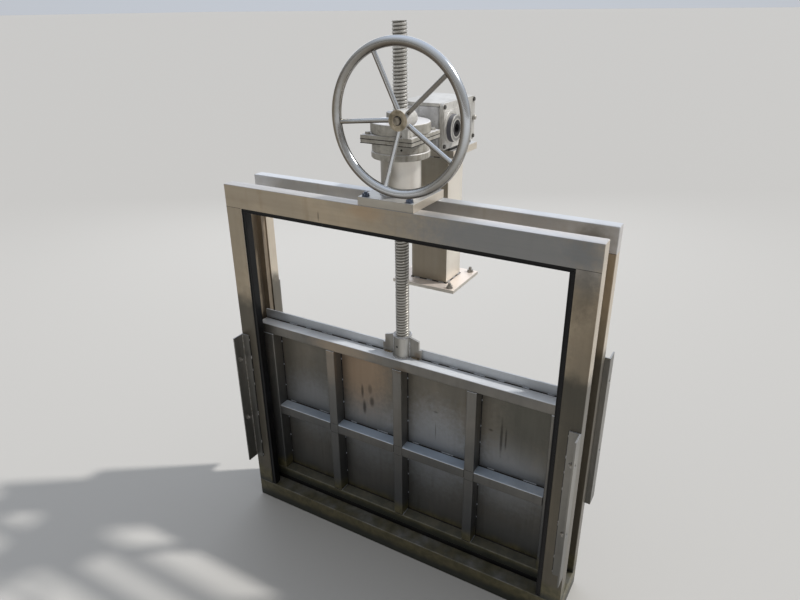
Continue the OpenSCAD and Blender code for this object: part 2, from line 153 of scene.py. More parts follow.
def blend(tree, mask, first, second, share=1.0):
    """Mix two colours by a mask. The Mix node has its colours at inputs 6 and 7."""
    if share < 1.0:
        mask = number(tree, "MULTIPLY", mask, share)
    mix = put(tree, "Mix", mask, data_type="RGBA").node
    feed(tree, first, mix.inputs[6])
    feed(tree, second, mix.inputs[7])
    return mix.outputs[2]


# %% [markdown]
# ## Floor and light
#
# A wide pale floor carries the gate. One sun stands to the right and behind, as the real one did,
# so the top faces shine and the front stays in soft shade. The sky is bright and a little blue
# behind the gate and dull in front of it: metal shows what lies around it, and that contrast
# separates its faces. One large soft lamp, low at the back left, lays a sheen on the top faces.

# %% Build floor, sun, lamp and world
SUN_FROM = Vector((0.570, 0.390, 0.725))
SHEEN_FROM = Vector((-0.50, 0.82, 0.30))
SHEEN_AIM = Vector((0, 0, 1.2))
SHEEN_FAR = 4.5
SKY_FROM = Vector((-0.35, 0.62, 0.70))
SKY_STRENGTH = 0.64
SKY_TONES = ((0.15, (0.34, 0.31, 0.27)), (0.55, (0.62, 0.62, 0.61)), (0.95, (0.93, 1.0, 1.12)))
FLOOR_TONE = (0.56, 0.55, 0.53, 1)
FLOOR_REACH = 300


def plain_floor():
    material = bpy.data.materials.new("floor_pale")
    material.use_nodes = True
    shader = material.node_tree.nodes["Principled BSDF"]
    shader.inputs["Base Color"].default_value = FLOOR_TONE
    shader.inputs["Roughness"].default_value = 0.9
    mesh = bpy.data.meshes.new("floor")
    bm = bmesh.new()
    bmesh.ops.create_grid(bm, x_segments=1, y_segments=1, size=FLOOR_REACH)
    bm.to_mesh(mesh)
    bm.free()
    mesh.materials.append(material)
    floor = bpy.data.objects.new("floor", mesh)
    scene.collection.objects.link(floor)


def add_light(name, kind, comes_from, place=(0, 0, 0), **settings):
    data = bpy.data.lights.new(name, kind)
    for key, value in settings.items():
        setattr(data, key, value)
    light = bpy.data.objects.new(name, data)
    light.location = place
    light.rotation_euler = comes_from.to_track_quat("Z", "Y").to_euler()
    light.visible_camera = False
    scene.collection.objects.link(light)


def sky_world():
    """Dull and warm in front of the gate, bright and cool behind and above it."""
    world = bpy.data.worlds.new("pale world")
    world.use_nodes = True
    tree = world.node_tree
    way = put(tree, "TexCoord", out="Generated")
    lean = vector(tree, "DOT_PRODUCT", way, SKY_FROM.normalized())
    tone = put(tree, "ValToRGB", to_range(tree, lean, 0.0, 1.0, from_low=-1.0))
    stops = tone.node.color_ramp.elements
    stops.new(0.55)
    for stop, (at, colour) in zip(stops, SKY_TONES):
        stop.position = at
        stop.color = (*colour, 1)
    background = tree.nodes["Background"].inputs
    background["Strength"].default_value = SKY_STRENGTH
    feed(tree, tone, background["Color"])
    return world


plain_floor()
add_light("sun", "SUN", SUN_FROM, energy=2.4, angle=math.radians(3), color=(1.0, 0.97, 0.925))
add_light("sheen", "AREA", SHEEN_FROM, SHEEN_AIM + SHEEN_FAR * SHEEN_FROM.normalized(),
          shape="RECTANGLE", size=5.0, size_y=2.6, energy=36, color=(0.93, 0.96, 1.0))
scene.world = sky_world()
scene.view_settings.view_transform = "Standard"
print("sun stands at", [round(v, 2) for v in SUN_FROM])

# %% [markdown]
# ## Shared effects as node groups
#
# Several effects return on many finishes: brushed grain, soft patches of tone, runs of dirt,
# stains with painted shade below a level, dust and painted light on faces that look one way,
# painted highlights on rounded edges and single smudges.
# Each is built once as a node group that puts out a plain value, so every material can place it
# with its own numbers.


# %% A node group with named inputs and outputs
def new_group(name, *outputs, **inputs):
    """A tuple makes a vector input and a number a plain one."""
    group = bpy.data.node_groups.new(name, "ShaderNodeTree")
    for label, value in {"Vector": (0, 0, 0), **inputs}.items():
        kind = "NodeSocketVector" if isinstance(value, tuple) else "NodeSocketFloat"
        socket = group.interface.new_socket(label, in_out="INPUT", socket_type=kind)
        socket.default_value = value
    for label in outputs:
        group.interface.new_socket(label, in_out="OUTPUT", socket_type="NodeSocketFloat")
    given = group.nodes.new("NodeGroupInput").outputs
    result = group.nodes.new("NodeGroupOutput").inputs
    return group, given, result


# %% Brushed grain: noise that is stretched along the brushing
grain, given, result = new_group("brushed grain", "Fine", "Broad", Stretch=(4, 400, 400))
drawn = vector(grain, "MULTIPLY", given["Vector"], given["Stretch"])
feed(grain, noise(grain, drawn, 1.0, 3.0), result["Fine"])
feed(grain, noise(grain, drawn, 0.16), result["Broad"])

# %% Patches: soft clouds of tone, as on weathered plate
patches, given, result = new_group("soft patches", "Mask", Size=5.0, Low=0.4, High=0.62)
cloud = noise(patches, given["Vector"], given["Size"], 5.0, 0.6, 0.4)
feed(patches, soft_step(patches, cloud, given["Low"], given["High"]), result["Mask"])

# %% Runs: upright streaks of dirt
runs, given, result = new_group("runs of dirt", "Mask", Spacing=26.0, Length=1.6, Low=0.56, High=0.74)
stretch = put(runs, "CombineXYZ", given["Spacing"], given["Spacing"], given["Length"])
drawn = vector(runs, "MULTIPLY", given["Vector"], stretch)
streak = noise(runs, drawn, 1.0, 4.0, 0.55)
feed(runs, soft_step(runs, streak, given["Low"], given["High"]), result["Mask"])

# %% Level line: everything below a ragged height, for slime, for the low stain with painted shade and for painted shade on the stem
level_line, given, result = new_group("level line", "Mask", Foot=0.12, Top=0.15, Ragged=0.035)
uneven = number(level_line, "SUBTRACT", noise(level_line, given["Vector"], 14.0, 6.0), 0.5)
height = put(level_line, "SeparateXYZ", given["Vector"], out="Z")
ragged = number(level_line, "MULTIPLY_ADD", uneven, given["Ragged"], height)
higher = soft_step(level_line, ragged, given["Foot"], given["Top"])
feed(level_line, number(level_line, "SUBTRACT", 1.0, higher), result["Mask"])

# %% Facing: faces that look one way, for dust with painted light on top, and for painted sunlight, shade and reflection
facing, given, result = new_group("facing mask", "Mask", Normal=(0, 0, 0), Towards=UP,
                                  Even=0.6, Low=0.45, High=0.9)
lean = vector(facing, "DOT_PRODUCT", given["Normal"], given["Towards"])
side = soft_step(facing, lean, given["Low"], given["High"])
cloud = soft_step(facing, noise(facing, given["Vector"], 7.0, 4.0), 0.3, 0.65)
cover = to_range(facing, cloud, given["Even"], 1.0)
feed(facing, number(facing, "MULTIPLY", side, cover), result["Mask"])

# %% Edge highlight: rounded upper edges, whose normals lean two ways, get a painted highlight
edge_highlight_group, given, result = new_group("painted edge highlight", "Mask")
x, y, z = put(edge_highlight_group, "SeparateXYZ", given["Vector"]).node.outputs
turned = put(edge_highlight_group, "CombineXYZ", y, z, x)
pairs = vector(edge_highlight_group, "MULTIPLY", given["Vector"], turned)
strong = vector(edge_highlight_group, "ABSOLUTE", pairs)
total = vector(edge_highlight_group, "DOT_PRODUCT", strong, (0.35, 1.0, 0.6))
rounded = soft_step(edge_highlight_group, total, 0.15, 0.42)
upper = soft_step(edge_highlight_group, z, -0.35, 0.0)
feed(edge_highlight_group, number(edge_highlight_group, "MULTIPLY", rounded, upper), result["Mask"])

# %% Smudge: one soft spot of a given place and size
smudge, given, result = new_group("smudge", "Mask", Centre=(0, 0, 0), Size=(0.1, 0.1, 0.1), Torn=0.5)
away = vector(smudge, "SUBTRACT", given["Vector"], given["Centre"])
share = vector(smudge, "DIVIDE", away, given["Size"])
reach = vector(smudge, "LENGTH", share)
uneven = number(smudge, "SUBTRACT", noise(smudge, given["Vector"], 55.0, 4.0, 0.6), 0.5)
torn = number(smudge, "MULTIPLY_ADD", uneven, given["Torn"], reach)
outside = soft_step(smudge, torn, 0.25, 1.0)
feed(smudge, number(smudge, "SUBTRACT", 1.0, outside), result["Mask"])
print("effects:", [g.name for g in bpy.data.node_groups])

# %% [markdown]
# ## Finishes
#
# A finish is laid on in layers, weather and painted light alike: a first tone, then one mask
# and one tone after the other. A small class keeps the colour so far, so that each layer is one line.
# The layers could be image textures, but masks from noise and place need no unwrapping and
# stay sharp close up.


# %% A material that takes layers
class Finish:
    def __init__(self, name, metallic, roughness, tone):
        self.material = bpy.data.materials.new(name)
        self.material.use_nodes = True
        self.tree = self.material.node_tree
        self.shader = self.tree.nodes["Principled BSDF"].inputs
        self.shader["Metallic"].default_value = metallic
        self.shader["Roughness"].default_value = roughness
        coordinates = put(self.tree, "TexCoord").node.outputs
        self.place = coordinates["Object"]
        self.normal = coordinates["Normal"]
        self.colour = tone

    def effect(self, group, **values):
        """Place an effect with its own values and return its first output."""
        node = self.tree.nodes.new("ShaderNodeGroup")
        node.node_tree = group
        for label, value in {"Vector": self.place, **values}.items():
            feed(self.tree, value, node.inputs[label])
        return node.outputs[0]

    def side(self, towards, even, **limits):
        """The faces that look one way."""
        return self.effect(facing, Normal=self.normal, Towards=towards, Even=even, **limits)

    def layer(self, mask, tone, share=1.0):
        self.colour = blend(self.tree, mask, self.colour, tone, share)

    def smudged(self, colour, smudges):
        """A colour under smudges, each given as (centre, size, colour, share)."""
        for centre, size, tone, share in smudges:
            mask = self.effect(smudge, Centre=centre, Size=size)
            colour = blend(self.tree, mask, colour, tone, share)
        return colour

    def relief(self, height, distance, strength=1.0):
        return put(self.tree, "Bump", Strength=strength, Distance=distance, Height=height)

    def done(self, **sockets):
        for label, value in {"Base Color": self.colour, **sockets}.items():
            feed(self.tree, value, self.shader[label])
        return self.material


# %% [markdown]
# ## Weathered steel
#
# Most of the gate is stainless steel that was brushed at the mill and has stood outdoors for
# a while. One function makes each steel from two tones, the direction of the grain and how far
# patches, runs, a low stain with painted shade, dust with painted light on top, and slime have
# come. The side towards the sun is painted paler, rounded upper edges get a painted highlight,
# and smudges sit where a spot on the real gate catches the eye; a few of them, on the front
# beam and on the skin plate, are painted reflection.

# %% Brushed and weathered steel
SLIME_GREEN = (0.060, 0.055, 0.022)
SLIME_PALE = (0.110, 0.095, 0.045)
WET_DARK = (0.010, 0.015, 0.015)
LOW_STAIN_AND_SHADE_TONE = (0.044, 0.046, 0.041)
DUST_AND_PAINTED_LIGHT_TONE = (0.60, 0.63, 0.68)
CLEAN_TONE = (0.50, 0.525, 0.555)
EDGE_HIGHLIGHT_TONE = (0.80, 0.84, 0.90)


def weathered_steel(name, light, dark, stretch, roughness=0.40, patch=0.5, run=0.25, dust_and_painted_light=0.5,
                    dust_and_painted_light_tone=DUST_AND_PAINTED_LIGHT_TONE, dust_and_painted_light_spots=(), painted_sun_side=None, low_stain_and_shade=0.0, low_stain_and_shade_from=(0.10, 1.15),
                    low_stain_and_shade_tone=LOW_STAIN_AND_SHADE_TONE, slime_level=None, metallic=0.65, smudges=(),
                    clean_above=None, edge_highlight_share=0.35):
    """Steel with grain along one way, cool and warm patches, runs, a low stain with painted shade, dust
    with painted light on top, painted sunlight on one side, painted highlights on edges and slime.
    """
    steel = Finish(name, metallic, roughness, dark)
    fine = steel.effect(grain, Stretch=stretch)
    broad = fine.node.outputs["Broad"]
    cooler = (dark[0] * 0.74, dark[1] * 0.80, dark[2] * 0.88)
    browner = (dark[0] * 0.66, dark[1] * 0.58, dark[2] * 0.46)
    steel.layer(to_range(steel.tree, broad, 0.2, 0.8, 0.3, 0.7), light)
    steel.layer(steel.effect(patches, Size=2.6, Low=0.40, High=0.62), cooler, patch)
    steel.layer(steel.effect(runs), browner, run)
    steel.layer(steel.effect(patches, Size=21.0, Low=0.50, High=0.75), browner, patch * 0.35)
    steel.colour = steel.smudged(steel.colour, smudges)
    if clean_above:
        lower = steel.effect(level_line, Foot=clean_above - 0.01, Top=clean_above, Ragged=0.0)
        steel.colour = blend(steel.tree, lower, CLEAN_TONE, steel.colour)
    # Painted sunlight: faces turned one way, towards the sun, are painted paler.
    if painted_sun_side:
        towards, tone, share = painted_sun_side
        steel.layer(steel.side(towards, 0.75), tone, share)
    # Darker below a ragged level: a stain, and painted shade where the lower gate stands in shade.
    if low_stain_and_shade:
        stain_and_shade_mask = steel.effect(level_line, Foot=low_stain_and_shade_from[0], Top=low_stain_and_shade_from[1], Ragged=0.12)
        steel.layer(stain_and_shade_mask, low_stain_and_shade_tone, low_stain_and_shade)
    # Painted highlight on rounded upper edges, where the real edges catch the sky.
    if edge_highlight_share:
        steel.layer(steel.effect(edge_highlight_group, Vector=steel.normal), EDGE_HIGHLIGHT_TONE, edge_highlight_share)
    # Pale tone on faces that look up: settled dust, and painted sheen where the tops reflect the sky and
    # catch the sun.
    dust_and_painted_light_mask = steel.side(UP, 0.8)
    steel.layer(dust_and_painted_light_mask, steel.smudged(dust_and_painted_light_tone, dust_and_painted_light_spots), dust_and_painted_light)
    bare = to_range(steel.tree, dust_and_painted_light_mask, metallic, metallic * (1.0 - 0.8 * dust_and_painted_light))
    if slime_level is not None:
        coat = steel.effect(level_line, Foot=slime_level - 0.03, Top=slime_level + 0.01, Ragged=0.06)
        wet = steel.effect(level_line, Foot=slime_level - 0.08, Top=slime_level - 0.045, Ragged=0.03)
        mottle = steel.effect(patches, Size=38.0, Low=0.35, High=0.65)
        steel.layer(coat, blend(steel.tree, mottle, SLIME_GREEN, SLIME_PALE), 0.9)
        steel.layer(wet, WET_DARK, 0.85)
        bare = to_range(steel.tree, coat, bare, 0.1)
    rough = to_range(steel.tree, fine, roughness - 0.06, roughness + 0.09, 0.3, 0.7)
    return steel.done(Metallic=bare, Roughness=rough, Normal=steel.relief(fine, 0.00005))


# %% Steels of the frame
SMOKE = (0.085, 0.075, 0.060)
TINT = (0.45, 0.30, 0.17)
OLIVE = (0.085, 0.072, 0.052)
# The side towards the sun, painted paler: painted sunlight.
PAINTED_SUNLIT_SIDE = ((1, 0, 0), (0.84, 0.76, 0.65), 0.75)
# Below about 0.95 m the posts turn dark: a stain with a painted shadow.
upright_steel = weathered_steel(
    "steel brushed upright", (0.520, 0.435, 0.320), (0.380, 0.310, 0.222), (240, 240, 4), low_stain_and_shade=0.78,
    low_stain_and_shade_from=(0.92, 0.99), slime_level=0.16, painted_sun_side=PAINTED_SUNLIT_SIDE,
    smudges=(((0.620, -0.10, 1.30), (0.08, 0.04, 0.12), (0.33, 0.335, 0.335), 0.7),
             ((0.610, -0.09, 1.22), (0.06, 0.08, 0.12), SMOKE, 0.45),
             ((0.640, -0.10, 0.90), (0.09, 0.06, 0.60), OLIVE, 0.50)))
crosswise_steel = weathered_steel(
    "steel brushed crosswise", (0.575, 0.482, 0.358), (0.430, 0.352, 0.255), (4, 240, 240), low_stain_and_shade=0.7,
    slime_level=0.10, dust_and_painted_light_tone=(0.48, 0.525, 0.60), painted_sun_side=PAINTED_SUNLIT_SIDE,
    dust_and_painted_light_spots=(((0.50, 0, 1.366), (0.60, 0.4, 0.2), (0.90, 0.92, 0.98), 0.95),),
    smudges=(((0.600, -0.10, 1.33), (0.07, 0.06, 0.06), SMOKE, 0.55),
             ((-0.070, -0.10, 1.345), (0.10, 0.05, 0.040), TINT, 0.4),
             ((-0.253, -0.10, 1.306), (0.004, 0.02, 0.022), SMOKE, 0.6),
             # This smudge darkens the right half of the beam's front: a painted darker reflection.
             ((0.400, -0.10, 1.32), (0.50, 0.06, 0.16), (0.22, 0.235, 0.25), 0.85)))
# Paler than the front beam's steel: painted light on a beam that stands in shade.
rear_beam_steel_painted_light = weathered_steel(
    "steel of the rear beam, paler as painted light", (0.74, 0.745, 0.76), (0.56, 0.555, 0.555), (4, 240, 240), metallic=0.5,
    dust_and_painted_light_tone=(0.56, 0.60, 0.66), painted_sun_side=((0.6, 0.8, 0), (0.62, 0.55, 0.46), 0.9),
    smudges=(((0.585, 0.06, 1.31), (0.07, 0.05, 0.07), SMOKE, 0.6),
             ((0.250, 0.06, 1.31), (0.50, 0.05, 0.10), (0.46, 0.40, 0.33), 0.4)))
slot_steel = weathered_steel(
    "steel in the slot", (0.46, 0.38, 0.285), (0.17, 0.13, 0.092), (46, 46, 0.8), roughness=0.5,
    run=0.6, dust_and_painted_light=0.2, low_stain_and_shade=0.7, low_stain_and_shade_from=(0.6, 1.1), slime_level=0.17, metallic=0.4)
bracket_steel = weathered_steel(
    "steel of the brackets", (0.33, 0.32, 0.295), (0.225, 0.215, 0.195), (150, 150, 8), low_stain_and_shade=0.45,
    low_stain_and_shade_from=(0.2, 0.7), slime_level=0.2, edge_highlight_share=0.5)

# %% Steels of the leaf; smudges on the plate reach only its front face
# Bluish tone on the leaf's shelf tops: dust, and a painted reflection of the sky.
LEAF_DUST_AND_SKY_SHEEN = (0.54, 0.645, 0.80)
BLUE_LOW_STAIN_AND_SHADE = (0.036, 0.045, 0.056)
TAN = (0.40, 0.32, 0.235)
PAINTED_SHELF_REFLECTION = (0.46, 0.495, 0.55)
SCRATCH = (0.035, 0.030, 0.025)
SCRATCHES = ((-0.177, 0.612, 0.008, 0.040, 0.7), (-0.170, 0.545, 0.011, 0.042, 0.8),
             (-0.143, 0.630, 0.013, 0.030, 0.5), (-0.136, 0.578, 0.014, 0.030, 0.7),
             (0.378, 0.600, 0.007, 0.100, 0.75), (0.394, 0.600, 0.005, 0.060, 0.7),
             (0.339, 0.619, 0.012, 0.007, 0.6), (0.131, 0.621, 0.012, 0.006, 0.5),
             (0.131, 0.540, 0.003, 0.050, 0.5))
FACE_Y, THIN = 0.0015, 0.0045


def on_plate(x, z, width, height, tone, share):
    return (x, FACE_Y, z), (width, THIN, height), tone, share


bar_steel = weathered_steel(
    "steel of the stiffeners", (0.262, 0.247, 0.222), (0.180, 0.170, 0.153), (110, 110, 20), low_stain_and_shade=0.76,
    low_stain_and_shade_from=(0.12, 0.82), low_stain_and_shade_tone=BLUE_LOW_STAIN_AND_SHADE, dust_and_painted_light=0.95, dust_and_painted_light_tone=(0.88, 0.92, 0.98),
    dust_and_painted_light_spots=(((0, 0, 0.458), (0.9, 0.3, 0.2), LEAF_DUST_AND_SKY_SHEEN, 1.0),), slime_level=0.190, edge_highlight_share=0.8,
    smudges=(((-0.230, -0.05, 0.800), (0.19, 0.03, 0.05), TAN, 0.65),
             ((-0.284, -0.05, 0.720), (0.05, 0.03, 0.12), TAN, 0.4),
             ((0.020, -0.05, 0.780), (0.05, 0.03, 0.02), (0.15, 0.11, 0.07), 0.6)))
skin_steel = weathered_steel(
    "steel of the skin plate", (0.255, 0.230, 0.190), (0.175, 0.160, 0.132), (80, 80, 8),
    roughness=0.45, patch=0.55, run=0.45, dust_and_painted_light=0.4, low_stain_and_shade=0.66, low_stain_and_shade_from=(0.10, 0.80),
    low_stain_and_shade_tone=BLUE_LOW_STAIN_AND_SHADE, slime_level=0.165, clean_above=0.815,
    # The pale smudges next to the middle shelf are a painted reflection of the shelf in the plate.
    smudges=(on_plate(-0.425, 0.470, 0.22, 0.20, PAINTED_SHELF_REFLECTION, 0.35),
             on_plate(-0.145, 0.450, 0.22, 0.24, PAINTED_SHELF_REFLECTION, 0.38),
             on_plate(0.125, 0.460, 0.24, 0.26, PAINTED_SHELF_REFLECTION, 0.6),
             on_plate(0.400, 0.450, 0.24, 0.20, PAINTED_SHELF_REFLECTION, 0.5),
             on_plate(-0.180, 0.72, 0.17, 0.26, (0.42, 0.30, 0.20), 0.7),
             on_plate(0.480, 0.72, 0.22, 0.26, (0.105, 0.105, 0.09), 0.8),
             *(on_plate(*place, SCRATCH, share) for *place, share in SCRATCHES)))
stub_steel = weathered_steel(
    "steel of socket and gussets", (0.40, 0.385, 0.355), (0.26, 0.245, 0.215), (150, 150, 8),
    dust_and_painted_light=0.55, painted_sun_side=((0.85, -0.5, 0.1), (0.70, 0.69, 0.66), 0.7), edge_highlight_share=0.0,
    smudges=(((0.062, 0, 0.832), (0.02, 0.03, 0.02), (0.16, 0.11, 0.07), 0.7),
             ((-0.060, 0, 0.850), (0.02, 0.03, 0.04), (0.12, 0.10, 0.08), 0.6)))

# %% Steels of plates, column and pedestal
plate_steel = weathered_steel(
    "steel of thick plates", (0.585, 0.545, 0.475), (0.395, 0.355, 0.295), (24, 150, 150),
    patch=0.35, run=0.15, dust_and_painted_light=0.55, painted_sun_side=PAINTED_SUNLIT_SIDE)
foot_steel = weathered_steel(
    "steel of the foot plate", (0.70, 0.67, 0.61), (0.54, 0.50, 0.44), (24, 150, 150),
    patch=0.25, run=0.1, dust_and_painted_light=0.8, dust_and_painted_light_tone=(0.95, 0.84, 0.765))
column_steel = weathered_steel(
    "steel of the column", (0.54, 0.50, 0.43), (0.37, 0.33, 0.26), (170, 170, 3),
    roughness=0.44, run=0.4, painted_sun_side=((1, 0, 0), (0.95, 0.90, 0.82), 0.9),
    smudges=(((0, 0.19, 1.10), (0.16, 0.06, 0.19), (0.27, 0.23, 0.175), 0.75),))
tube_steel = weathered_steel(
    "steel of the pedestal", (0.46, 0.43, 0.375), (0.25, 0.225, 0.185), (60, 60, 1.2),
    roughness=0.36, patch=0.3, run=0.45, edge_highlight_share=0.0,
    painted_sun_side=((0.86, -0.50, 0), (0.98, 0.94, 0.88), 0.9))

# %% [markdown]
# ## Polished tube
#
# The handwheel's tube is polished until it mirrors what lies around it, so the real one has a
# brown side and a white one. The scene round it is plain, so two masks by the facing of the
# surface paint those reflections on it as a dark brown band and a bright band, and two smudges
# paint a brighter reflection low on the rim and a darker one on its left.

# %% Polished tube of the handwheel
# Painted reflections: brighter low on the rim, darker on its left.
RIM_PAINTED_BRIGHT_REFLECTION = ((0.080, -0.14, 1.425), (0.20, 0.06, 0.06), (0.74, 0.77, 0.80), 0.8)
RIM_PAINTED_DARK_REFLECTION = ((-0.210, -0.14, 1.620), (0.17, 0.08, 0.34), (0.19, 0.155, 0.10), 0.62)


def polished_steel():
    steel = Finish("steel polished", 1.0, 0.2, (0.38, 0.37, 0.345))
    cloud = steel.effect(patches, Size=14.0, Low=0.4, High=0.7)
    # Painted reflection: a dark brown band on faces turned down and left, a bright band on faces turned up
    # and right.
    shade = steel.side((-0.66, -0.24, -0.71), 0.9, Low=0.06, High=0.58)
    shine = steel.side((0.55, -0.62, 0.56), 0.9, Low=0.56, High=0.90)
    steel.layer(cloud, (0.30, 0.285, 0.26), 0.7)
    steel.colour = steel.smudged(steel.colour, [RIM_PAINTED_BRIGHT_REFLECTION])
    steel.layer(shade, (0.105, 0.080, 0.055), 0.88)
    steel.layer(shine, (0.86, 0.91, 0.98), 0.95)
    steel.colour = steel.smudged(steel.colour, [RIM_PAINTED_DARK_REFLECTION])
    return steel.done(Roughness=to_range(steel.tree, cloud, 0.16, 0.21))


wheel_steel = polished_steel()

# %% [markdown]
# ## Paint on castings
#
# Both gearboxes are sand-cast and painted pale grey. The paint has an orange peel, which is a
# small bump, and dirt gathers in runs and in flecks. The side turned left and down is darker:
# painted shade in the colour of the dirt. The pale layer on top is dust with painted light, a
# layer by facing, because it lies only on what looks up. Where a front tone is given, the front
# is painted paler, as painted light.


# %% Light grey paint on castings
def cast_paint(name, tone, dirt, dirt_share, dust_and_painted_light=0.5, dust_and_painted_light_tone=(0.70, 0.705, 0.70), front=None,
               smudges=()):
    """Paint over sand-cast iron: orange peel, dull patches, brown dirt that ran down, painted shade on the
    left side, a front painted paler when given, pale dust with painted light on top.
    """
    paint = Finish(name, 0.3, 0.46, tone)
    cloud = paint.effect(patches, Size=11.0, Low=0.38, High=0.68)
    paint.layer(cloud, tuple(0.72 * c for c in tone))
    # A paler front, when given, is painted light.
    if front:
        paint.layer(paint.side((0, -1, 0), 0.6), front, 0.9)
    paint.colour = paint.smudged(paint.colour, smudges)
    # The side turned left and down is darker: painted shade, in the colour of the dirt.
    paint.layer(paint.side((-0.90, -0.35, -0.25), 0.7, Low=0.45, High=0.95), dirt, 0.55)
    paint.layer(paint.effect(patches, Size=34.0, Low=0.44, High=0.68), dirt, 0.6 * dirt_share)
    paint.layer(paint.effect(runs, Spacing=48.0, Length=9.0, Low=0.5, High=0.72), dirt, dirt_share)
    paint.layer(paint.effect(patches, Size=95.0, Low=0.56, High=0.70), dirt, dirt_share)
    # Pale tone on top: dust, and painted light on the lit tops.
    paint.layer(paint.side(UP, 0.8), dust_and_painted_light_tone, dust_and_painted_light)
    peel = paint.relief(noise(paint.tree, paint.place, 420.0, 3.0), 0.0003, 0.5)
    return paint.done(Roughness=to_range(paint.tree, cloud, 0.50, 0.68), Normal=peel)


housing_paint = cast_paint(
    "paint on the castings", (0.53, 0.51, 0.46), (0.19, 0.165, 0.125), 0.6, 0.95, (0.88, 0.88, 0.90),
    # This smudge darkens the drum's left side: painted shade.
    smudges=(((-0.080, -0.02, 1.60), (0.05, 0.09, 0.03), (0.22, 0.205, 0.175), 0.8),))
# The rear housing's front is painted paler: painted light on a face that stands in shade.
cool_paint = cast_paint("paint on the rear housing", (0.56, 0.56, 0.56), (0.27, 0.26, 0.25), 0.4,
                        0.9, (0.56, 0.565, 0.57), front=(0.79, 0.80, 0.83))
cover_paint = cast_paint("paint on the rear cover", (0.70, 0.69, 0.66), (0.30, 0.27, 0.23), 0.35,
                         0.6, (0.64, 0.64, 0.64))
face_paint = cast_paint("paint on the ring face", (0.30, 0.295, 0.285), (0.15, 0.135, 0.12), 0.4, 0.2)
# Nearly black paint on the bearing sleeve: painted shade on a wall that stands in shade.
sleeve_shade_paint = cast_paint("painted shade on the bearing sleeve", (0.125, 0.128, 0.150), (0.07, 0.065, 0.065),
                        0.4, 0.15)
hub_paint = cast_paint("paint on the hub", (0.58, 0.57, 0.55), (0.32, 0.30, 0.26), 0.3)
hub_metal = cast_paint(
    "metal of the hub face", (0.50, 0.43, 0.32), (0.17, 0.14, 0.085), 0.8, 0.2,
    smudges=(((0.052, -0.1415, 1.645), (0.012, 0.004, 0.016), (0.20, 0.17, 0.11), 0.8),
             ((0.090, -0.1415, 1.620), (0.012, 0.004, 0.010), (0.20, 0.17, 0.11), 0.8),
             ((0.074, -0.1415, 1.658), (0.016, 0.004, 0.006), (0.24, 0.20, 0.13), 0.7),
             ((0.060, -0.1415, 1.618), (0.010, 0.004, 0.006), (0.62, 0.54, 0.42), 0.7)))

# %% [markdown]
# ## Thread, rubber and small parts
#
# On the stem the crests of the thread are light and the roots dark. The distance from the
# stem's axis tells them apart, which follows the cut thread exactly. Lower down, where the stem
# stands under the beam, it is darker: painted shade. Rubber, bolts and weld metal need only one
# tone, tinted and stained at a fine scale.

# %% Threaded stem: light crests over dark roots, and painted shade lower down
STEM_R, stem_h, stem_foot = round_size("stem")
THREAD_DEPTH = 3.2 * MM


def threaded_steel():
    steel = Finish("steel of the thread", 0.75, 0.36, (0.25, 0.24, 0.22))
    flat = vector(steel.tree, "MULTIPLY", steel.place, (1, 1, 0))
    radius = vector(steel.tree, "LENGTH", flat)
    crest = to_range(steel.tree, radius, 0, 1, STEM_R - THREAD_DEPTH, STEM_R)
    steel.layer(crest, (0.70, 0.69, 0.665))
    steel.layer(steel.effect(patches, Size=30.0, Low=0.4, High=0.7), (0.36, 0.345, 0.31), 0.45)
    # Darker below about 1.3 m: painted shade under the beam.
    steel.layer(steel.effect(level_line, Foot=1.24, Top=1.42, Ragged=0.05), (0.20, 0.185, 0.155), 0.48)
    return steel.done(Roughness=to_range(steel.tree, crest, 0.55, 0.32))


thread_steel = threaded_steel()


# %% Rubber, bolts, weld metal and dark seams
def black_rubber():
    skin = Finish("rubber", 0.0, 0.42, (0.004, 0.004, 0.005))
    dust = skin.effect(patches, Size=9.0, Low=0.45, High=0.75)
    skin.layer(dust, (0.012, 0.0115, 0.011))
    skin.shader["Specular IOR Level"].default_value = 0.25
    pores = skin.relief(noise(skin.tree, skin.place, 600.0), 0.0002, 0.4)
    return skin.done(Roughness=to_range(skin.tree, dust, 0.36, 0.55), Normal=pores)


def small_metal(name, tone, dirt, roughness, metallic=0.8):
    metal = Finish(name, metallic, roughness, tone)
    tint = metal.effect(patches, Size=70.0, Low=0.35, High=0.7)
    spots = metal.effect(patches, Size=240.0, Low=0.5, High=0.7)
    metal.layer(tint, dirt)
    metal.layer(spots, dirt, 0.5)
    rough = to_range(metal.tree, tint, roughness - 0.05, roughness + 0.15)
    return metal.done(Roughness=rough, Normal=metal.relief(spots, 0.0001, 0.5))


rubber = black_rubber()
bolt_steel = small_metal("steel of bolts", (0.44, 0.43, 0.41), (0.24, 0.215, 0.18), 0.34)
nut_steel = small_metal("steel of the hub nut", (0.36, 0.325, 0.265), (0.17, 0.145, 0.11), 0.42, 0.4)
dark_bolt = small_metal("steel of dark screws", (0.13, 0.125, 0.115), (0.06, 0.055, 0.05), 0.4)
blued_steel = small_metal("steel of blued bolts", (0.150, 0.185, 0.265), (0.06, 0.07, 0.09), 0.38)
pale_steel = small_metal("steel of pale bolts", (0.62, 0.62, 0.60), (0.44, 0.42, 0.38), 0.4, 0.4)
weld_steel = small_metal("weld metal", (0.60, 0.61, 0.63), (0.33, 0.32, 0.31), 0.3)
leaf_weld = small_metal("weld metal of the leaf", (0.62, 0.67, 0.76), (0.34, 0.36, 0.40), 0.34, 0.4)
weld_brown = small_metal("tinted weld metal", (0.30, 0.25, 0.18), (0.12, 0.09, 0.06), 0.4)
seam_and_shade_dark = small_metal("dark seams and painted shade", (0.024, 0.022, 0.022), (0.010, 0.010, 0.011), 0.7, 0.0)
print("finishes:", len(bpy.data.materials))

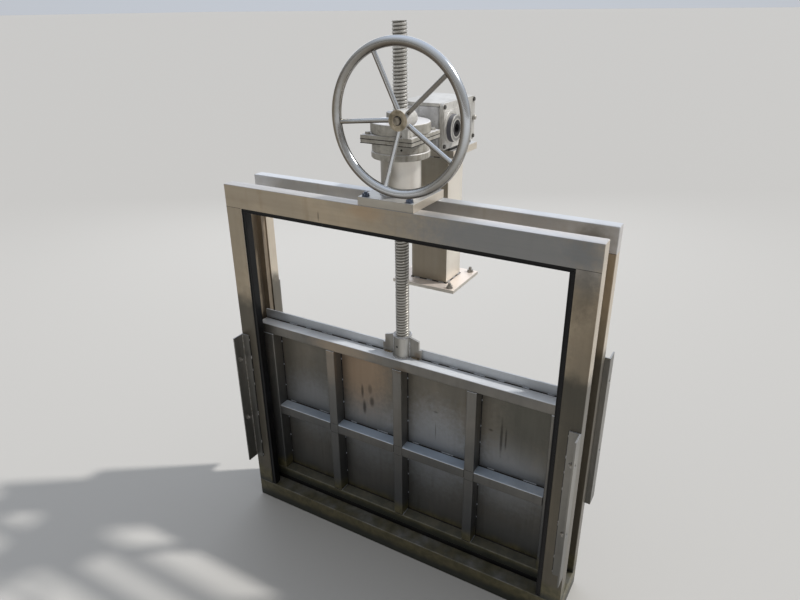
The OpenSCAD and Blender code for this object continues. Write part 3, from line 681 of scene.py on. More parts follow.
# %% [markdown]
# ## Making pieces
#
# Every piece starts as a bmesh. A finished bmesh becomes an object whose place is in its mesh,
# rides on its body and, where it stands for a CAD node, hides that node. Flat faces beside
# rounded edges shade cleanly with a Weighted Normal modifier.


# %% From bmesh to piece
def make_piece(name, bm, material, body, slot, *replaced, sharp=40):
    bmesh.ops.recalc_face_normals(bm, faces=bm.faces)
    mesh = bpy.data.meshes.new(name)
    bm.to_mesh(mesh)
    bm.free()
    mesh.materials.append(material)
    mesh.shade_smooth()
    mesh.set_sharp_from_angle(angle=math.radians(sharp))
    piece = bpy.data.objects.new(name, mesh)
    scene.collection.objects.link(piece)
    weigh = piece.modifiers.new("flat faces stay flat", "WEIGHTED_NORMAL")
    weigh.keep_sharp = True
    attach(piece, body)
    if replaced:
        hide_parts(*replaced)
    print(name, "has", len(mesh.polygons), "faces")


def round_edges(bm, edges, radius, segments=3):
    bmesh.ops.bevel(bm, geom=list(edges), offset=radius, offset_type="OFFSET",
                    segments=segments, profile=0.5, affect="EDGES",
                    clamp_overlap=True, material=-1)


def upright(edge):
    return abs(edge.verts[1].co.z - edge.verts[0].co.z) > 0.99 * edge.calc_length()


def edges_of(verts):
    return list({e for v in verts for e in v.link_edges})


def add_block(bm, low, high, radius=None):
    """A box between two corners."""
    middle = (Vector(low) + Vector(high)) / 2
    size = Vector(high) - Vector(low)
    made = bmesh.ops.create_cube(bm, size=1.0,
                                 matrix=Matrix.Translation(middle) @ Matrix.Diagonal((*size, 1)))
    if radius:
        round_edges(bm, edges_of(made["verts"]), radius, 2)


def add_strips(bm, outer, inner, low_z, high_z):
    """Four blocks that fill the space between two rectangles, (left, front, right, back)."""
    (left, front, right, back), (in_left, in_front, in_right, in_back) = outer, inner
    for low, high in (((left, front), (in_left, back)), ((in_right, front), (right, back)),
                      ((in_left, front), (in_right, in_front)),
                      ((in_left, in_back), (in_right, back))):
        add_block(bm, (*low, low_z), (*high, high_z))


# %% [markdown]
# ## The frame
#
# The posts and beams are hollow sections with small outer radii. Only the edges that stay free
# are rounded: where a beam meets a post the real weld is flush, so those edges stay sharp.

# %% Rounded bars for posts, beams and sill
SECTION_R = 2.5 * MM


def bar_from_node(node, material, share):
    """Round the upright edges, and all edges that lie above a share of the height."""
    low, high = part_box(node)
    bm = bmesh.new()
    add_block(bm, low, high)
    level = low.z + share * (high.z - low.z)
    free = [e for e in bm.edges if upright(e) or min(v.co.z for v in e.verts) > level]
    round_edges(bm, free, SECTION_R)
    make_piece(node + "_dressed", bm, material, "frame", "frame_steel", node)


for node in ("front_post_left", "front_post_right", "rear_post_left", "rear_post_right"):
    bar_from_node(node, upright_steel, 1)
bar_from_node("front_top_beam", crosswise_steel, 0.5)
bar_from_node("rear_top_beam", rear_beam_steel_painted_light, 0.5)
bar_from_node("sill_beam", crosswise_steel, -1)


def repaint(node, material):
    """A node that keeps its CAD mesh gets a finish."""
    nodes[node].data.materials.clear()
    nodes[node].data.materials.append(material)


repaint("guide_web_left", slot_steel)
repaint("guide_web_right", slot_steel)

# %% [markdown]
# ## Rubber lining
#
# The lining is an extruded rubber strip. Its front face has a shallow groove, which catches
# the thin line of sheen that the real strip shows.

# %% Grooved rubber strips
STRIP_R = 1.2 * MM
GROOVE_IN = 3.5 * MM
GROOVE_WALL = 0.8 * MM
GROOVE_DEPTH = 1.5 * MM


def rubber_strip(node):
    low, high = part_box(node)
    bm = bmesh.new()
    add_block(bm, low, high)
    round_edges(bm, bm.edges, STRIP_R, 2)
    bm.faces.ensure_lookup_table()
    front = min(bm.faces, key=lambda f: (f.calc_center_median().y, -f.calc_area()))
    bmesh.ops.inset_region(bm, faces=[front], thickness=GROOVE_IN, depth=0)
    bmesh.ops.inset_region(bm, faces=[front], thickness=GROOVE_WALL, depth=-GROOVE_DEPTH)
    make_piece(node + "_dressed", bm, rubber, "frame", "rubber", node)


for node in ("lining_left", "lining_right", "lining_top"):
    rubber_strip(node)

# %% [markdown]
# ## Copies of plain CAD shapes
#
# Flat parts with holes, such as plates and brackets, keep the outline of their CAD node.
# A copy of its mesh is merged, its coplanar triangles are joined, and its sharp edges rounded.


# %% A softened copy of a node; the radius is in millimetres
def softened(node, material, slot, radius, body="frame", segments=2):
    bm = bmesh.new()
    bm.from_mesh(nodes[node].data)
    bmesh.ops.remove_doubles(bm, verts=bm.verts, dist=0.00001)
    bmesh.ops.dissolve_limit(bm, angle_limit=math.radians(0.5), verts=bm.verts,
                             edges=bm.edges, use_dissolve_boundaries=False)
    sharp = [e for e in bm.edges if len(e.link_faces) == 2
             and e.calc_face_angle(0) > math.radians(50)]
    round_edges(bm, sharp, radius * MM, segments)
    make_piece(node + "_dressed", bm, material, body, slot, node)


for node in ("bracket_front_left", "bracket_front_right", "bracket_rear_left", "bracket_rear_right"):
    softened(node, bracket_steel, "frame_steel", 0.8)
softened("gearbox_base_plate", plate_steel, "plate_steel", 1.5)
softened("column_foot_plate", foot_steel, "plate_steel", 1.2)
softened("column_head_plate", plate_steel, "plate_steel", 1.5)
softened("rear_column", column_steel, "frame_steel", 2.5, segments=3)

# %% [markdown]
# ## The leaf
#
# A skin plate carries hollow stiffeners. Their free edges are rounded like those of the frame.

# %% Skin plate and stiffeners
softened("leaf_plate", skin_steel, "leaf_steel", 0.8, body="leaf")
for node in ("leaf_top_member", "leaf_middle_member", "leaf_bottom_member", "leaf_end_ribs", "leaf_ribs"):
    softened(node, bar_steel, "leaf_steel", 3.6, body="leaf", segments=4)
softened("leaf_foot_seal", rubber, "rubber", 1.5, body="leaf")
softened("stem_socket", stub_steel, "leaf_steel", 1.5, body="leaf")
softened("socket_gussets", stub_steel, "leaf_steel", 0.8, body="leaf")

# %% [markdown]
# ## The threaded stem
#
# A spin with a small rise at each step draws a helix. The profile is one pitch of the thread,
# so after a full turn its upper end meets its own lower end. One turn is spun and then copied:
# 1, 2, 4 turns and so on, which is far quicker than one long spin. The joined skin is cut flat
# at both ends and closed.

# %% Cut the thread
THREAD_PITCH = 10 * MM
STEPS_PER_TURN = 40
CREST = 0.50
FLANK = 0.15
CORNER = 0.05


def threaded_stem():
    root = STEM_R - THREAD_DEPTH
    shoulder = STEM_R - 0.4 * MM
    doublings = math.ceil(math.log2(stem_h / THREAD_PITCH + 3))
    start = stem_foot.z - 1.5 * THREAD_PITCH
    shape = ((root, 0.0), (shoulder, FLANK), (STEM_R, FLANK + CORNER), (STEM_R, FLANK + CREST),
             (shoulder, FLANK + CREST + CORNER), (root, 2 * FLANK + CREST + CORNER), (root, 1.0))
    bm = bmesh.new()
    line = [bm.verts.new((r, 0, start + z * THREAD_PITCH)) for r, z in shape]
    edges = [bm.edges.new(pair) for pair in zip(line, line[1:])]
    bmesh.ops.spin(bm, geom=line + edges, cent=(0, 0, 0), axis=UP,
                   dvec=(0, 0, THREAD_PITCH / STEPS_PER_TURN), angle=math.tau, steps=STEPS_PER_TURN)
    for k in range(doublings):
        copy = bmesh.ops.duplicate(bm, geom=bm.verts[:] + bm.edges[:] + bm.faces[:])["geom"]
        bmesh.ops.translate(bm, verts=[g for g in copy if isinstance(g, bmesh.types.BMVert)],
                            vec=(0, 0, THREAD_PITCH * 2 ** k))
    bmesh.ops.remove_doubles(bm, verts=bm.verts, dist=0.00002)
    for height, way in ((stem_foot.z, -1), (stem_foot.z + stem_h, 1)):
        bmesh.ops.bisect_plane(bm, geom=bm.verts[:] + bm.edges[:] + bm.faces[:],
                               plane_co=(0, 0, height), plane_no=(0, 0, way), clear_outer=True)
    bmesh.ops.holes_fill(bm, edges=[e for e in bm.edges if e.is_boundary], sides=0)
    print("thread:", len(bm.faces), "faces, open edges", sum(e.is_boundary for e in bm.edges))
    make_piece("stem_threaded", bm, thread_steel, "leaf", "stem_steel", "stem", sharp=35)


threaded_stem()

# %% [markdown]
# ## Turned parts
#
# Housings, hub and rings are bodies of revolution. A short profile is spun round an axis, and the
# rings where it turns sharply are rounded.


# %% Spin a profile
def placed(at, axis, turn=0.0):
    """A matrix that stands Z along an axis at a point."""
    aim = Vector(axis).to_track_quat("Z", "Y").to_matrix().to_4x4()
    return Matrix.Translation(at) @ aim @ Matrix.Rotation(turn, 4, "Z")


def ring(inner, outer, foot, top):
    """The profile of a ring, in metres."""
    return [(inner, foot), (outer, foot), (outer, top), (inner, top)]


def add_turned(bm, profile, at, axis, steps=96, radius=None, segments=3, closed=True):
    """Spin points (radius, height) round an axis through a point; sharp rings are rounded."""
    before = set(bm.verts)

    def fresh():
        return [v for v in bm.verts if v not in before]

    line = [bm.verts.new((r, 0, h)) for r, h in profile]
    pairs = list(zip(line, line[1:])) + ([(line[-1], line[0])] if closed else [])
    edges = [bm.edges.new(pair) for pair in pairs]
    bmesh.ops.spin(bm, geom=line + edges, cent=(0, 0, 0), axis=UP,
                   angle=math.tau, steps=steps, use_merge=True)
    bmesh.ops.remove_doubles(bm, verts=fresh(), dist=0.000005)
    if radius:
        rings = [e for e in edges_of(fresh())
                 if len(e.link_faces) == 2 and abs(e.verts[0].co.z - e.verts[1].co.z) < 1e-7
                 and e.calc_face_angle(0) > math.radians(40)]
        round_edges(bm, rings, radius, segments)
    bmesh.ops.transform(bm, matrix=placed(at, axis), verts=fresh())


def turned_piece(name, profile, at, axis, material, body, slot, *replaced, **more):
    bm = bmesh.new()
    add_turned(bm, profile, at, axis, **more)
    make_piece(name, bm, material, body, slot, *replaced)


# %% [markdown]
# ## Bolts and weld beads
#
# A hexagon bolt is a washer, a six-sided head with a chamfer, and a rounded end of thread.
# A weld bead is a small ring that is swept in short steps. Every second step is thinner, like
# the ripples of a real bead. A dark strip runs along under the beads, where two parts meet; on
# the leaf it is wide enough to be painted shade in the corner.


# %% Discs and hexagon bolts
def add_disc(bm, place, foot, height, low_r, high_r, segments):
    """A disc that stands on a height of a placed axis; with six segments it is a bolt's head."""
    made = bmesh.ops.create_cone(bm, cap_ends=True, segments=segments, radius1=low_r, radius2=high_r,
                                 depth=height,
                                 matrix=place @ Matrix.Translation((0, 0, foot + height / 2)))
    return made["verts"]


def add_bolt(bm, at, axis, size, washer=True, end=0.0, turn=0.0):
    """A bolt of nominal size that stands on a face at a point."""
    place = placed(at, axis, turn)
    height = -0.3 * MM
    if washer:
        add_disc(bm, place, height, 0.2 * size, 1.02 * size, 0.98 * size, 32)
        height += 0.18 * size
    head = 0.65 * size
    made = add_disc(bm, place, height, head, 0.92 * size, 0.92 * size, 6)
    inverse = place.inverted()
    top = [e for e in edges_of(made)
           if all((inverse @ v.co).z > height + head - 1e-6 for v in e.verts)]
    round_edges(bm, top, 0.13 * size, 2)
    if end:
        add_disc(bm, place, height + head - 0.5 * MM, end, 0.5 * size, 0.42 * size, 20)


# %% Rippled beads, straight and round
def add_bead(bm, start, way, size, ripple=0.22):
    """A bead from a point, as far as a vector reaches."""
    start, way = Vector(start), Vector(way)
    count = max(4, round(way.length / (0.55 * size)))
    before = set(bm.verts)
    made = bmesh.ops.create_circle(bm, cap_ends=False, segments=8, radius=0.5 * size,
                                   matrix=placed(start, way))["verts"]
    bmesh.ops.spin(bm, geom=made + edges_of(made), cent=start, axis=way.normalized(),
                   dvec=way / count, angle=0.0, steps=count)
    verts = [v for v in bm.verts if v not in before]
    for vert in verts:
        step = (vert.co - start).dot(way) / way.length_squared * count
        centre = start + way * (step / count)
        number = round(step)
        factor = 0.5 if number in (0, count) else 1.0 - ripple * (number % 2)
        vert.co = centre + (vert.co - centre) * factor
    bmesh.ops.holes_fill(bm, edges=[e for e in edges_of(verts) if e.is_boundary], sides=0)


def circle_round(bm, centre, ring_r, tube_r, segments, steps):
    """A tube that is closed to a ring round an upright axis; its vertices are returned."""
    before = set(bm.verts)
    at = Matrix.Translation(centre + Vector((ring_r, 0, 0))) @ Matrix.Rotation(math.pi / 2, 4, "X")
    made = bmesh.ops.create_circle(bm, cap_ends=False, segments=segments, radius=tube_r,
                                   matrix=at)["verts"]
    bmesh.ops.spin(bm, geom=made + edges_of(made), cent=centre, axis=UP, angle=math.tau,
                   steps=steps, use_merge=True)
    bmesh.ops.remove_doubles(bm, verts=[v for v in bm.verts if v not in before], dist=0.00001)
    return [v for v in bm.verts if v not in before]


def add_ring_bead(bm, height, ring_r, size, waves=40, ripple=0.16):
    """A bead once round the stem's axis; its thickness comes and goes in waves."""
    centre = Vector((0, 0, height))
    for vert in circle_round(bm, centre, ring_r, 0.5 * size, 8, 4 * waves):
        angle = math.atan2(vert.co.y, vert.co.x)
        middle = centre + Vector((math.cos(angle), math.sin(angle), 0)) * ring_r
        wave = 0.6 * math.cos(waves * angle) + 0.4 * math.cos(3 * angle + 1.0)
        vert.co = middle + (vert.co - middle) * (1.0 + ripple * wave)


# %% Seams, painted shade in the corners, and beads of the leaf
PLATE_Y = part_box("leaf_plate")[0].y
SEAM = 2.2 * MM
CREASE = 5.5 * MM
SINK = 0.5 * MM
STRIP = 0.7 * MM
JOINT = 0.4 * MM
member_foot, member_top = (corner.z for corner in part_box("leaf_top_member"))
shelf_foot, shelf_top = (corner.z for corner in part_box("leaf_middle_member"))
bottom_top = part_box("leaf_bottom_member")[1].z
RIB_LEVELS = (member_foot, shelf_foot, shelf_top, bottom_top)
rib_low, rib_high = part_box("leaf_ribs")
end_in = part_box("leaf_middle_member")[1].x
RIB_W = 36 * MM
RIB_X = (-(rib_high.x - RIB_W / 2), 0.0, rib_high.x - RIB_W / 2)
bays = [(a + (0 if k == 0 else RIB_W / 2), b - (0 if k == 3 else RIB_W / 2))
        for k, (a, b) in enumerate(zip((-end_in, *RIB_X), (*RIB_X, end_in)))]
TOP_BEADS = ((-500, 52), (-420, 30), (-345, 62), (-215, 40), (-150, 34), (115, 36), (180, 44),
             (269, 56), (355, 30), (437, 33), (520, 30))


def bay_seams_and_painted_shade(seams, beads, bay, a, b):
    """The corners of one column of bays, between its left and right stiffener."""
    for floor_z in (shelf_top, bottom_top):
        # Dark strips in the corners of the shelves: painted shade.
        add_block(seams, (a + SINK, PLATE_Y - CREASE, floor_z - SINK),
                  (b - SINK, PLATE_Y + SINK, floor_z + STRIP))
    for share, length in ((0.08 + 0.05 * (bay % 2), 26 * MM), (0.66 - 0.05 * (bay % 3), 46 * MM)):
        add_bead(beads, (a + share * (b - a), PLATE_Y - 1.3 * MM, shelf_top + 1.8 * MM),
                 (length, 0, 0), 3.4 * MM, 0.04)
    for low_z, high_z in ((bottom_top, shelf_foot), (shelf_top, member_foot)):
        for k, (x, inward) in enumerate(((a, SEAM), (b, -SEAM))):
            left, right = sorted((x - math.copysign(SINK, inward), x + inward))
            add_block(seams, (left, PLATE_Y - SEAM, low_z + SEAM), (right, PLATE_Y + SINK, high_z - SEAM))
            for share in (0.22 + 0.03 * bay, 0.52 + 0.04 * ((bay + k) % 3), 0.84 - 0.03 * k):
                z = low_z + share * (high_z - low_z)
                add_bead(beads, (x + 0.5 * inward, PLATE_Y - 1.5 * MM, z - 4 * MM),
                         (0, 0, 8 * MM), 3.6 * MM)


def leaf_seams_and_painted_shade():
    """Dark strips in the corners between plate and stiffeners as painted shade, thin dark joints at the
    ribs, and pale beads on them.
    """
    seams, beads = bmesh.new(), bmesh.new()
    for bay, (a, b) in enumerate(bays):
        bay_seams_and_painted_shade(seams, beads, bay, a, b)
    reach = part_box("leaf_top_member")[1].x - 4 * MM
    # Dark strip in the corner above the top member: painted shade.
    add_block(seams, (-reach, PLATE_Y - CREASE, member_top - SINK),
              (reach, PLATE_Y + SINK, member_top + STRIP))
    for x, length in TOP_BEADS:
        add_bead(beads, (x * MM, PLATE_Y - 2 * MM, member_top + 1.4 * MM),
                 (0.7 * length * MM, 0, 0), 4.6 * MM, 0.05)
    side_start, side_end = rib_low.y + 4 * MM, PLATE_Y - 6 * MM
    for x in RIB_X:
        for z in RIB_LEVELS:
            add_block(seams, (x - RIB_W / 2 + 2 * MM, rib_low.y - JOINT, z - JOINT),
                      (x + RIB_W / 2 - 2 * MM, rib_low.y + 1 * MM, z + JOINT))
            for side in (-1, 1):
                add_bead(beads, (x + side * (RIB_W / 2 + 0.6 * MM), side_start, z),
                         (0, side_end - side_start, 0), 3.2 * MM)
    make_piece("leaf_seams_and_painted_shade", seams, seam_and_shade_dark, "leaf", "leaf_steel")
    make_piece("leaf_weld_beads", beads, leaf_weld, "leaf", "leaf_steel")


leaf_seams_and_painted_shade()

# %% Beads at the stem socket
SOCKET_R, socket_h, socket_foot = round_size("stem_socket")
gusset_low, gusset_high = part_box("socket_gussets")
SCREW_WAY = Vector((-0.16, -0.98, 0)).normalized()


def socket_welds():
    bright, brown, screw = bmesh.new(), bmesh.new(), bmesh.new()
    base_z = socket_foot.z
    add_ring_bead(bright, base_z + 1.5 * MM, SOCKET_R + 0.5 * MM, 6.5 * MM, waves=26)
    add_ring_bead(bright, base_z + socket_h - 1.2 * MM, SOCKET_R - 0.2 * MM, 4.5 * MM, waves=8,
                  ripple=0.08)
    for side in (-1, 1):
        add_bead(bright, (side * (SOCKET_R + 0.5 * MM), gusset_low.y - 0.5 * MM, base_z + 6 * MM),
                 (0, 0, gusset_high.z - base_z - 10 * MM), 5 * MM)
        add_bead(brown, (side * (SOCKET_R + 8 * MM), gusset_low.y - 1.5 * MM, base_z + 2 * MM),
                 (side * (gusset_high.x - SOCKET_R - 14 * MM), 0, 0), 8 * MM)
    screw_at = SCREW_WAY * (SOCKET_R - 0.2 * MM) + Vector((0, 0, base_z + 42 * MM))
    add_disc(screw, placed(screw_at, SCREW_WAY), *mm(-1, 2, 4, 3.4), 20)
    make_piece("socket_weld_beads", bright, weld_steel, "leaf", "leaf_steel")
    make_piece("gusset_weld_beads", brown, weld_brown, "leaf", "leaf_steel")
    make_piece("socket_screw", screw, seam_and_shade_dark, "leaf", "leaf_steel")


socket_welds()

# %% Beads and anchors of the frame
FRONT_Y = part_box("front_post_right")[0].y
BRACKET_BEADS = ((0.01, 8), (0.12, 14), (0.36, 10), (0.38, 9), (0.61, 12), (0.725, 10), (0.82, 14),
                 (0.96, 8))


def frame_welds():
    beads, seams, crease_highlights = bmesh.new(), bmesh.new(), bmesh.new()
    for end, side in (("left", -1), ("right", 1)):
        low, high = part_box("bracket_front_" + end)
        inner, outer = sorted((abs(low.x), abs(high.x)))
        for share, length in BRACKET_BEADS:
            z = low.z + share * (high.z - low.z)
            add_bead(beads, (side * (inner - 0.5 * MM), FRONT_Y - 1 * MM, z),
                     (0, 0, length * MM), 4.2 * MM)
        # A round fillet in the crease, in paler steel: its paleness is a painted highlight.
        add_bead(crease_highlights, (side * (outer - 5.5 * MM), FRONT_Y - 5.5 * MM, low.z + 1 * MM),
                 (0, 0, high.z - low.z - 2 * MM), 4 * MM, ripple=0.0)
        add_block(seams, (side * inner - 2.5 * MM, FRONT_Y - 1.5 * MM, low.z + 4 * MM),
                  (side * inner + 2.5 * MM, FRONT_Y + 0.5 * MM, high.z - 4 * MM))
        for node in ("front_post_", "rear_post_"):
            post_low, post_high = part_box(node + end)
            edge = Vector(mm(-1.5, 0.25, 0.6))
            add_block(seams, Vector((post_low.x, post_low.y, post_high.z)) - edge, post_high + edge)
    make_piece("bracket_crease_highlights", crease_highlights, bolt_steel, "frame", "frame_steel")
    make_piece("frame_weld_beads", beads, weld_steel, "frame", "frame_steel")
    make_piece("frame_seams", seams, seam_and_shade_dark, "frame", "frame_steel")


def wall_anchors():
    """The head of an anchor on the inner side of each bracket, over its hole."""
    bm = bmesh.new()
    for name, y, heights in (("bracket_front_", -129.5, (684, 417)), ("bracket_rear_", 129.5, (841, 574))):
        for end, side in (("left", -1), ("right", 1)):
            outer = max(abs(corner.x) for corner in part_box(name + end))
            for z in heights:
                add_bolt(bm, (side * (outer - 5 * MM), y * MM, z * MM), (-side, 0, 0), 11 * MM,
                         end=6 * MM, turn=0.3)
    make_piece("wall_anchor_heads", bm, bolt_steel, "frame", "frame_steel")


frame_welds()
wall_anchors()

# %% [markdown]
# ## The front gearbox
#
# A pedestal tube stands on the base plate. Above it lie the gear housing with its foot rim,
# two flange plates with a thin gasket between, the drum and the cap that holds the stem nut.

# %% Pedestal, housing, drum and cap
BORE_R = STEM_R + 5 * MM
PEDESTAL_WALL = 8 * MM
CLEARANCE = 0.1 * MM

ped_r, ped_h, ped_foot = round_size("pedestal_tube")
turned_piece("pedestal_tube_dressed", ring(ped_r - PEDESTAL_WALL, ped_r, 0, ped_h), ped_foot, UP,
             tube_steel, "frame", "pedestal_steel", "pedestal_tube", radius=0.8 * MM)

rim_out, house_h, foot = round_size("lower_gear_housing")
house_r = rim_out - 2 * MM
house_shape = [(BORE_R, 0), (house_r, 0), (rim_out, 3 * MM), (rim_out, 18 * MM), (house_r, 20 * MM),
               (house_r - 1.5 * MM, 20 * MM), (house_r - 1.5 * MM, 22 * MM), (house_r, 23.5 * MM),
               (house_r, house_h), (BORE_R, house_h)]
turned_piece("lower_gear_housing_dressed", house_shape, foot, UP, housing_paint, "frame",
             "cast_housing", "lower_gear_housing")

for node, bore, radius, segments in (("gear_drum", BORE_R, 5, 5),
                                     ("stem_nut_cap", STEM_R + CLEARANCE, 3, 4)):
    outer, height, foot = round_size(node)
    turned_piece(node + "_dressed", ring(bore, outer, 0, height), foot, UP, housing_paint, "frame",
                 "cast_housing", node, radius=radius * MM, segments=segments)

for node in ("lower_flange", "upper_flange"):
    softened(node, housing_paint, "cast_housing", 1.6)
softened("input_shaft_case", cover_paint, "cast_housing", 2.5, segments=4)
softened("gearbox_link_tube", housing_paint, "cast_housing", 0.5)

# %% Gaskets, seams and screws of the front gearbox
flange_low, flange_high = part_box("lower_flange")
plate_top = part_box("gearbox_base_plate")[1].z
GASKET = 0.9 * MM
GASKET_OUT = 0.3 * MM
CASTING_SCREW_AT = mm(45, -74.5, 1541)
CASTING_SCREW_WAY = (0.517, -0.856, 0)


def four_corners(x, y):
    return [(a * MM, b * MM) for b in (-y, y) for a in (-x, x)]


def gearbox_trim():
    seams, beads, pale, blued = (bmesh.new() for _ in range(4))
    outer = (flange_low.x - GASKET_OUT, flange_low.y - GASKET_OUT,
             flange_high.x + GASKET_OUT, flange_high.y + GASKET_OUT)
    for z in (flange_low.z, flange_high.z):
        add_strips(seams, outer, (-BORE_R, -BORE_R, BORE_R, BORE_R), z - GASKET, z + GASKET)
    add_disc(seams, placed(CASTING_SCREW_AT, CASTING_SCREW_WAY), *mm(-1, 2, 3.6, 3.2), 20)
    add_ring_bead(beads, ped_foot.z + 1.5 * MM, ped_r + 0.5 * MM, 6 * MM, waves=48, ripple=0.12)
    for x, y in four_corners(70, 73):
        add_bolt(pale, (x, y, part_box("upper_flange")[1].z), UP, 9 * MM, turn=0.4)
    for x, y in four_corners(77, 84):
        add_bolt(blued, (x, y, plate_top), UP, 12 * MM, end=5 * MM, turn=0.2)
    make_piece("gearbox_seams", seams, seam_and_shade_dark, "frame", "cast_housing")
    make_piece("pedestal_weld_bead", beads, weld_steel, "frame", "pedestal_steel")
    make_piece("flange_bolts", pale, pale_steel, "frame", "cast_housing")
    make_piece("base_plate_bolts", blued, blued_steel, "frame", "plate_steel")


gearbox_trim()

# %% [markdown]
# ## The rear gearbox
#
# The housing is a cast box under a thin lid. The cover on its side carries a round pad with
# the bearing ring, small screws at its corners and a knob at the far edge.

# %% Rear housing, its lid and its pads
softened("rear_gear_housing", cool_paint, "cast_housing", 3, segments=3)
softened("rear_gear_cover", cover_paint, "cast_housing", 1.5)
box_low, box_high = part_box("rear_gear_housing")
FACE_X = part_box("rear_gear_cover")[1].x
COVER_X = 84 * MM
BEARING_AT = (FACE_X, 162 * MM, 1573 * MM)
HEAD_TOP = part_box("column_head_plate")[1].z


def along_x(bm, profile, at=BEARING_AT, **more):
    """Turn a shape round an axis along X; the bearing's axis unless another is given."""
    add_turned(bm, profile, at, (1, 0, 0), **more)


def rear_castings():
    bm = bmesh.new()
    add_block(bm, box_low + Vector((-1 * MM, -1 * MM, box_high.z - box_low.z - 8 * MM)),
              box_high + Vector(mm(-1, 1, 2.5)), 2 * MM)
    add_block(bm, (box_low.x + 8 * MM, box_low.y - 2.5 * MM, 1528 * MM),
              (box_low.x + 52 * MM, box_low.y + 1 * MM, 1634 * MM), 1.8 * MM)
    along_x(bm, ring(*mm(40, 49.5, 0, 7)), mm(83.5, 162, 1577), radius=1.5 * MM)
    add_block(bm, mm(83, 115, 1532), mm(86.5, 212, 1629), 1.5 * MM)
    make_piece("rear_housing_castings", bm, cover_paint, "frame", "cast_housing", sharp=35)


def rear_bearing():
    """Two pale rings, the sleeve round them and the face between."""
    rings, sleeve, face = bmesh.new(), bmesh.new(), bmesh.new()
    along_x(rings, ring(*mm(38, 42.6, -1, 1)), radius=0.6 * MM)
    along_x(rings, ring(*mm(26.5, 29.5, -1, 0.8)), radius=0.4 * MM)
    along_x(sleeve, ring(*mm(41, 42.4, -15.5, -1)), radius=0.3 * MM)
    along_x(face, ring(*mm(25, 38.5, -1, 0.4)))
    make_piece("rear_bearing_rings", rings, pale_steel, "frame", "cast_housing", sharp=35)
    make_piece("rear_bearing_sleeve", sleeve, sleeve_shade_paint, "frame", "cast_housing", sharp=35)
    make_piece("rear_bearing_face", face, face_paint, "frame", "cast_housing", sharp=35)


def rear_seams_and_bore_shade():
    bm = bmesh.new()
    # The dark bore is painted shade inside the hole.
    bore = ((14.7, -20), (15.3, -20), (15.3, -2), (25.5, -2), (25.5, 0.3), (14.7, 0.3))
    along_x(bm, [mm(*point) for point in bore])
    add_block(bm, (box_low.x + 3 * MM, box_low.y - 0.3 * MM, box_high.z - 9.2 * MM),
              (box_high.x + 0.6 * MM, box_low.y + 3 * MM, box_high.z - 8 * MM))
    for low, high in (((-70, 187), (70, 188.5)), ((69.5, 188), (72.5, 346.5))):
        add_block(bm, (*mm(*low), HEAD_TOP - 0.4 * MM), (*mm(*high), HEAD_TOP + 1.2 * MM))
    make_piece("rear_gearbox_seams_and_bore_shade", bm, seam_and_shade_dark, "frame", "cast_housing", sharp=35)


def rear_screws():
    screws, knob = bmesh.new(), bmesh.new()
    for y in (122, 338):
        for z in (1521, 1640):
            add_bolt(screws, (COVER_X, y * MM, z * MM), (1, 0, 0), 7.5 * MM, washer=False, turn=0.2)
    for x in (-60, 60):
        for y in (197, 358):
            add_bolt(screws, (x * MM, y * MM, HEAD_TOP), UP, 9 * MM, turn=0.3)
    make_piece("rear_cover_screws", screws, dark_bolt, "frame", "cast_housing")
    shape = ((0.5, 0), (6, 0), (8, 2), (8, 8), (5, 11), (0.5, 11))
    along_x(knob, [mm(*point) for point in shape], mm(83.5, 339, 1581), steps=32,
            radius=0.8 * MM, closed=False)
    make_piece("rear_cover_knob", knob, pale_steel, "frame", "cast_housing", sharp=35)


rear_castings()
rear_bearing()
rear_seams_and_bore_shade()
rear_screws()

# %% Column foot and head: seams, dashes of bead and bolts
column_low, column_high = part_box("rear_column")
foot_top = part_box("column_foot_plate")[1].z
SEAM_IN = 1 * MM
BEAD_OUT = 2.2 * MM


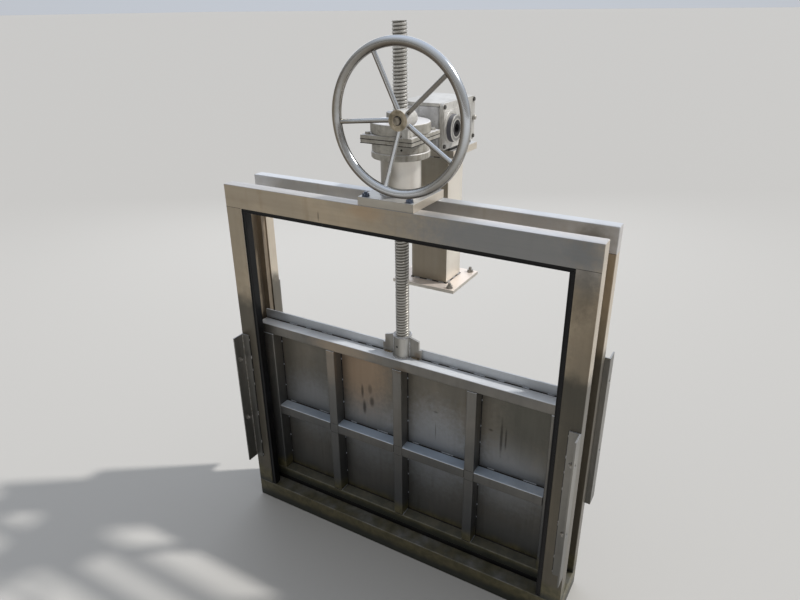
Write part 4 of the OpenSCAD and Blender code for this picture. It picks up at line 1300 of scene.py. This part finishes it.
def column_trim():
    seams, beads, bolts = bmesh.new(), bmesh.new(), bmesh.new()
    left, front, right, back = *column_low.xy, *column_high.xy
    outer = (left - SEAM, front - SEAM, right + SEAM, back + SEAM)
    inner = (left + SEAM_IN, front + SEAM_IN, right - SEAM_IN, back - SEAM_IN)
    for level, way in ((foot_top, 1), (column_high.z, -1)):
        add_strips(seams, outer, inner, *sorted((level - way * 0.5 * MM, level + way * 3.0 * MM)))
        z = level + way * 2 * MM
        for share in (0.08, 0.45, 0.78):
            x = left + share * (right - left)
            y = front + share * (back - front)
            add_bead(beads, (x, front - BEAD_OUT, z), (22 * MM, 0, 0), 5.5 * MM)
            add_bead(beads, (right + BEAD_OUT, y, z), (0, 20 * MM, 0), 5.5 * MM)
            add_bead(beads, (left - BEAD_OUT, y, z), (0, 20 * MM, 0), 5.5 * MM)
    for x in (-97, 97):
        for y in (159.5, 331.5):
            add_bolt(bolts, (x * MM, y * MM, foot_top), UP, 12 * MM, end=9 * MM, turn=0.25)
    make_piece("column_seams", seams, seam_and_shade_dark, "frame", "frame_steel")
    make_piece("column_weld_beads", beads, weld_steel, "frame", "frame_steel")
    make_piece("column_foot_bolts", bolts, bolt_steel, "frame", "plate_steel")


column_trim()

# %% [markdown]
# ## The handwheel
#
# The rim is a circle spun round the shaft. The hub carries a thin worn disc, and a dark ring lies
# round its nut.

# %% Rim, spokes and hub
wheel_low, wheel_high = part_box("handwheel_rim")
wheel_at = (wheel_low + wheel_high) / 2
RIM_TUBE_R = (wheel_high.y - wheel_low.y) / 2
RIM_R = (wheel_high.x - wheel_low.x) / 2 - RIM_TUBE_R
HUB_R = round_size("handwheel_hub")[0]


def rim_piece():
    bm = bmesh.new()
    circle_round(bm, Vector((0, 0, 0)), RIM_R, RIM_TUBE_R, 32, 192)
    bmesh.ops.transform(bm, verts=bm.verts,
                        matrix=Matrix.Translation(wheel_at) @ Matrix.Rotation(math.pi / 2, 4, "X"))
    make_piece("handwheel_rim_dressed", bm, wheel_steel, "handwheel", "wheel_steel",
               "handwheel_rim", sharp=60)


rim_piece()
softened("handwheel_spokes", wheel_steel, "wheel_steel", 0.3, body="handwheel")
softened("handwheel_hub", hub_paint, "hub_metal", 1.2, body="handwheel")
softened("hub_nut", nut_steel, "hub_metal", 0.8, body="handwheel")
repaint("input_shaft", nut_steel)

face_at = (wheel_at.x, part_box("handwheel_hub")[0].y, wheel_at.z)
turned_piece("hub_face_disc", ring(8 * MM, HUB_R + 0.4 * MM, -2 * MM, 1.2 * MM), face_at, (0, -1, 0),
             hub_metal, "handwheel", "hub_metal", radius=0.7 * MM)
turned_piece("hub_dark_ring", ring(*mm(8, 13, -0.5, 1.6)), face_at, (0, -1, 0),
             seam_and_shade_dark, "handwheel", "hub_metal", radius=0.4 * MM)
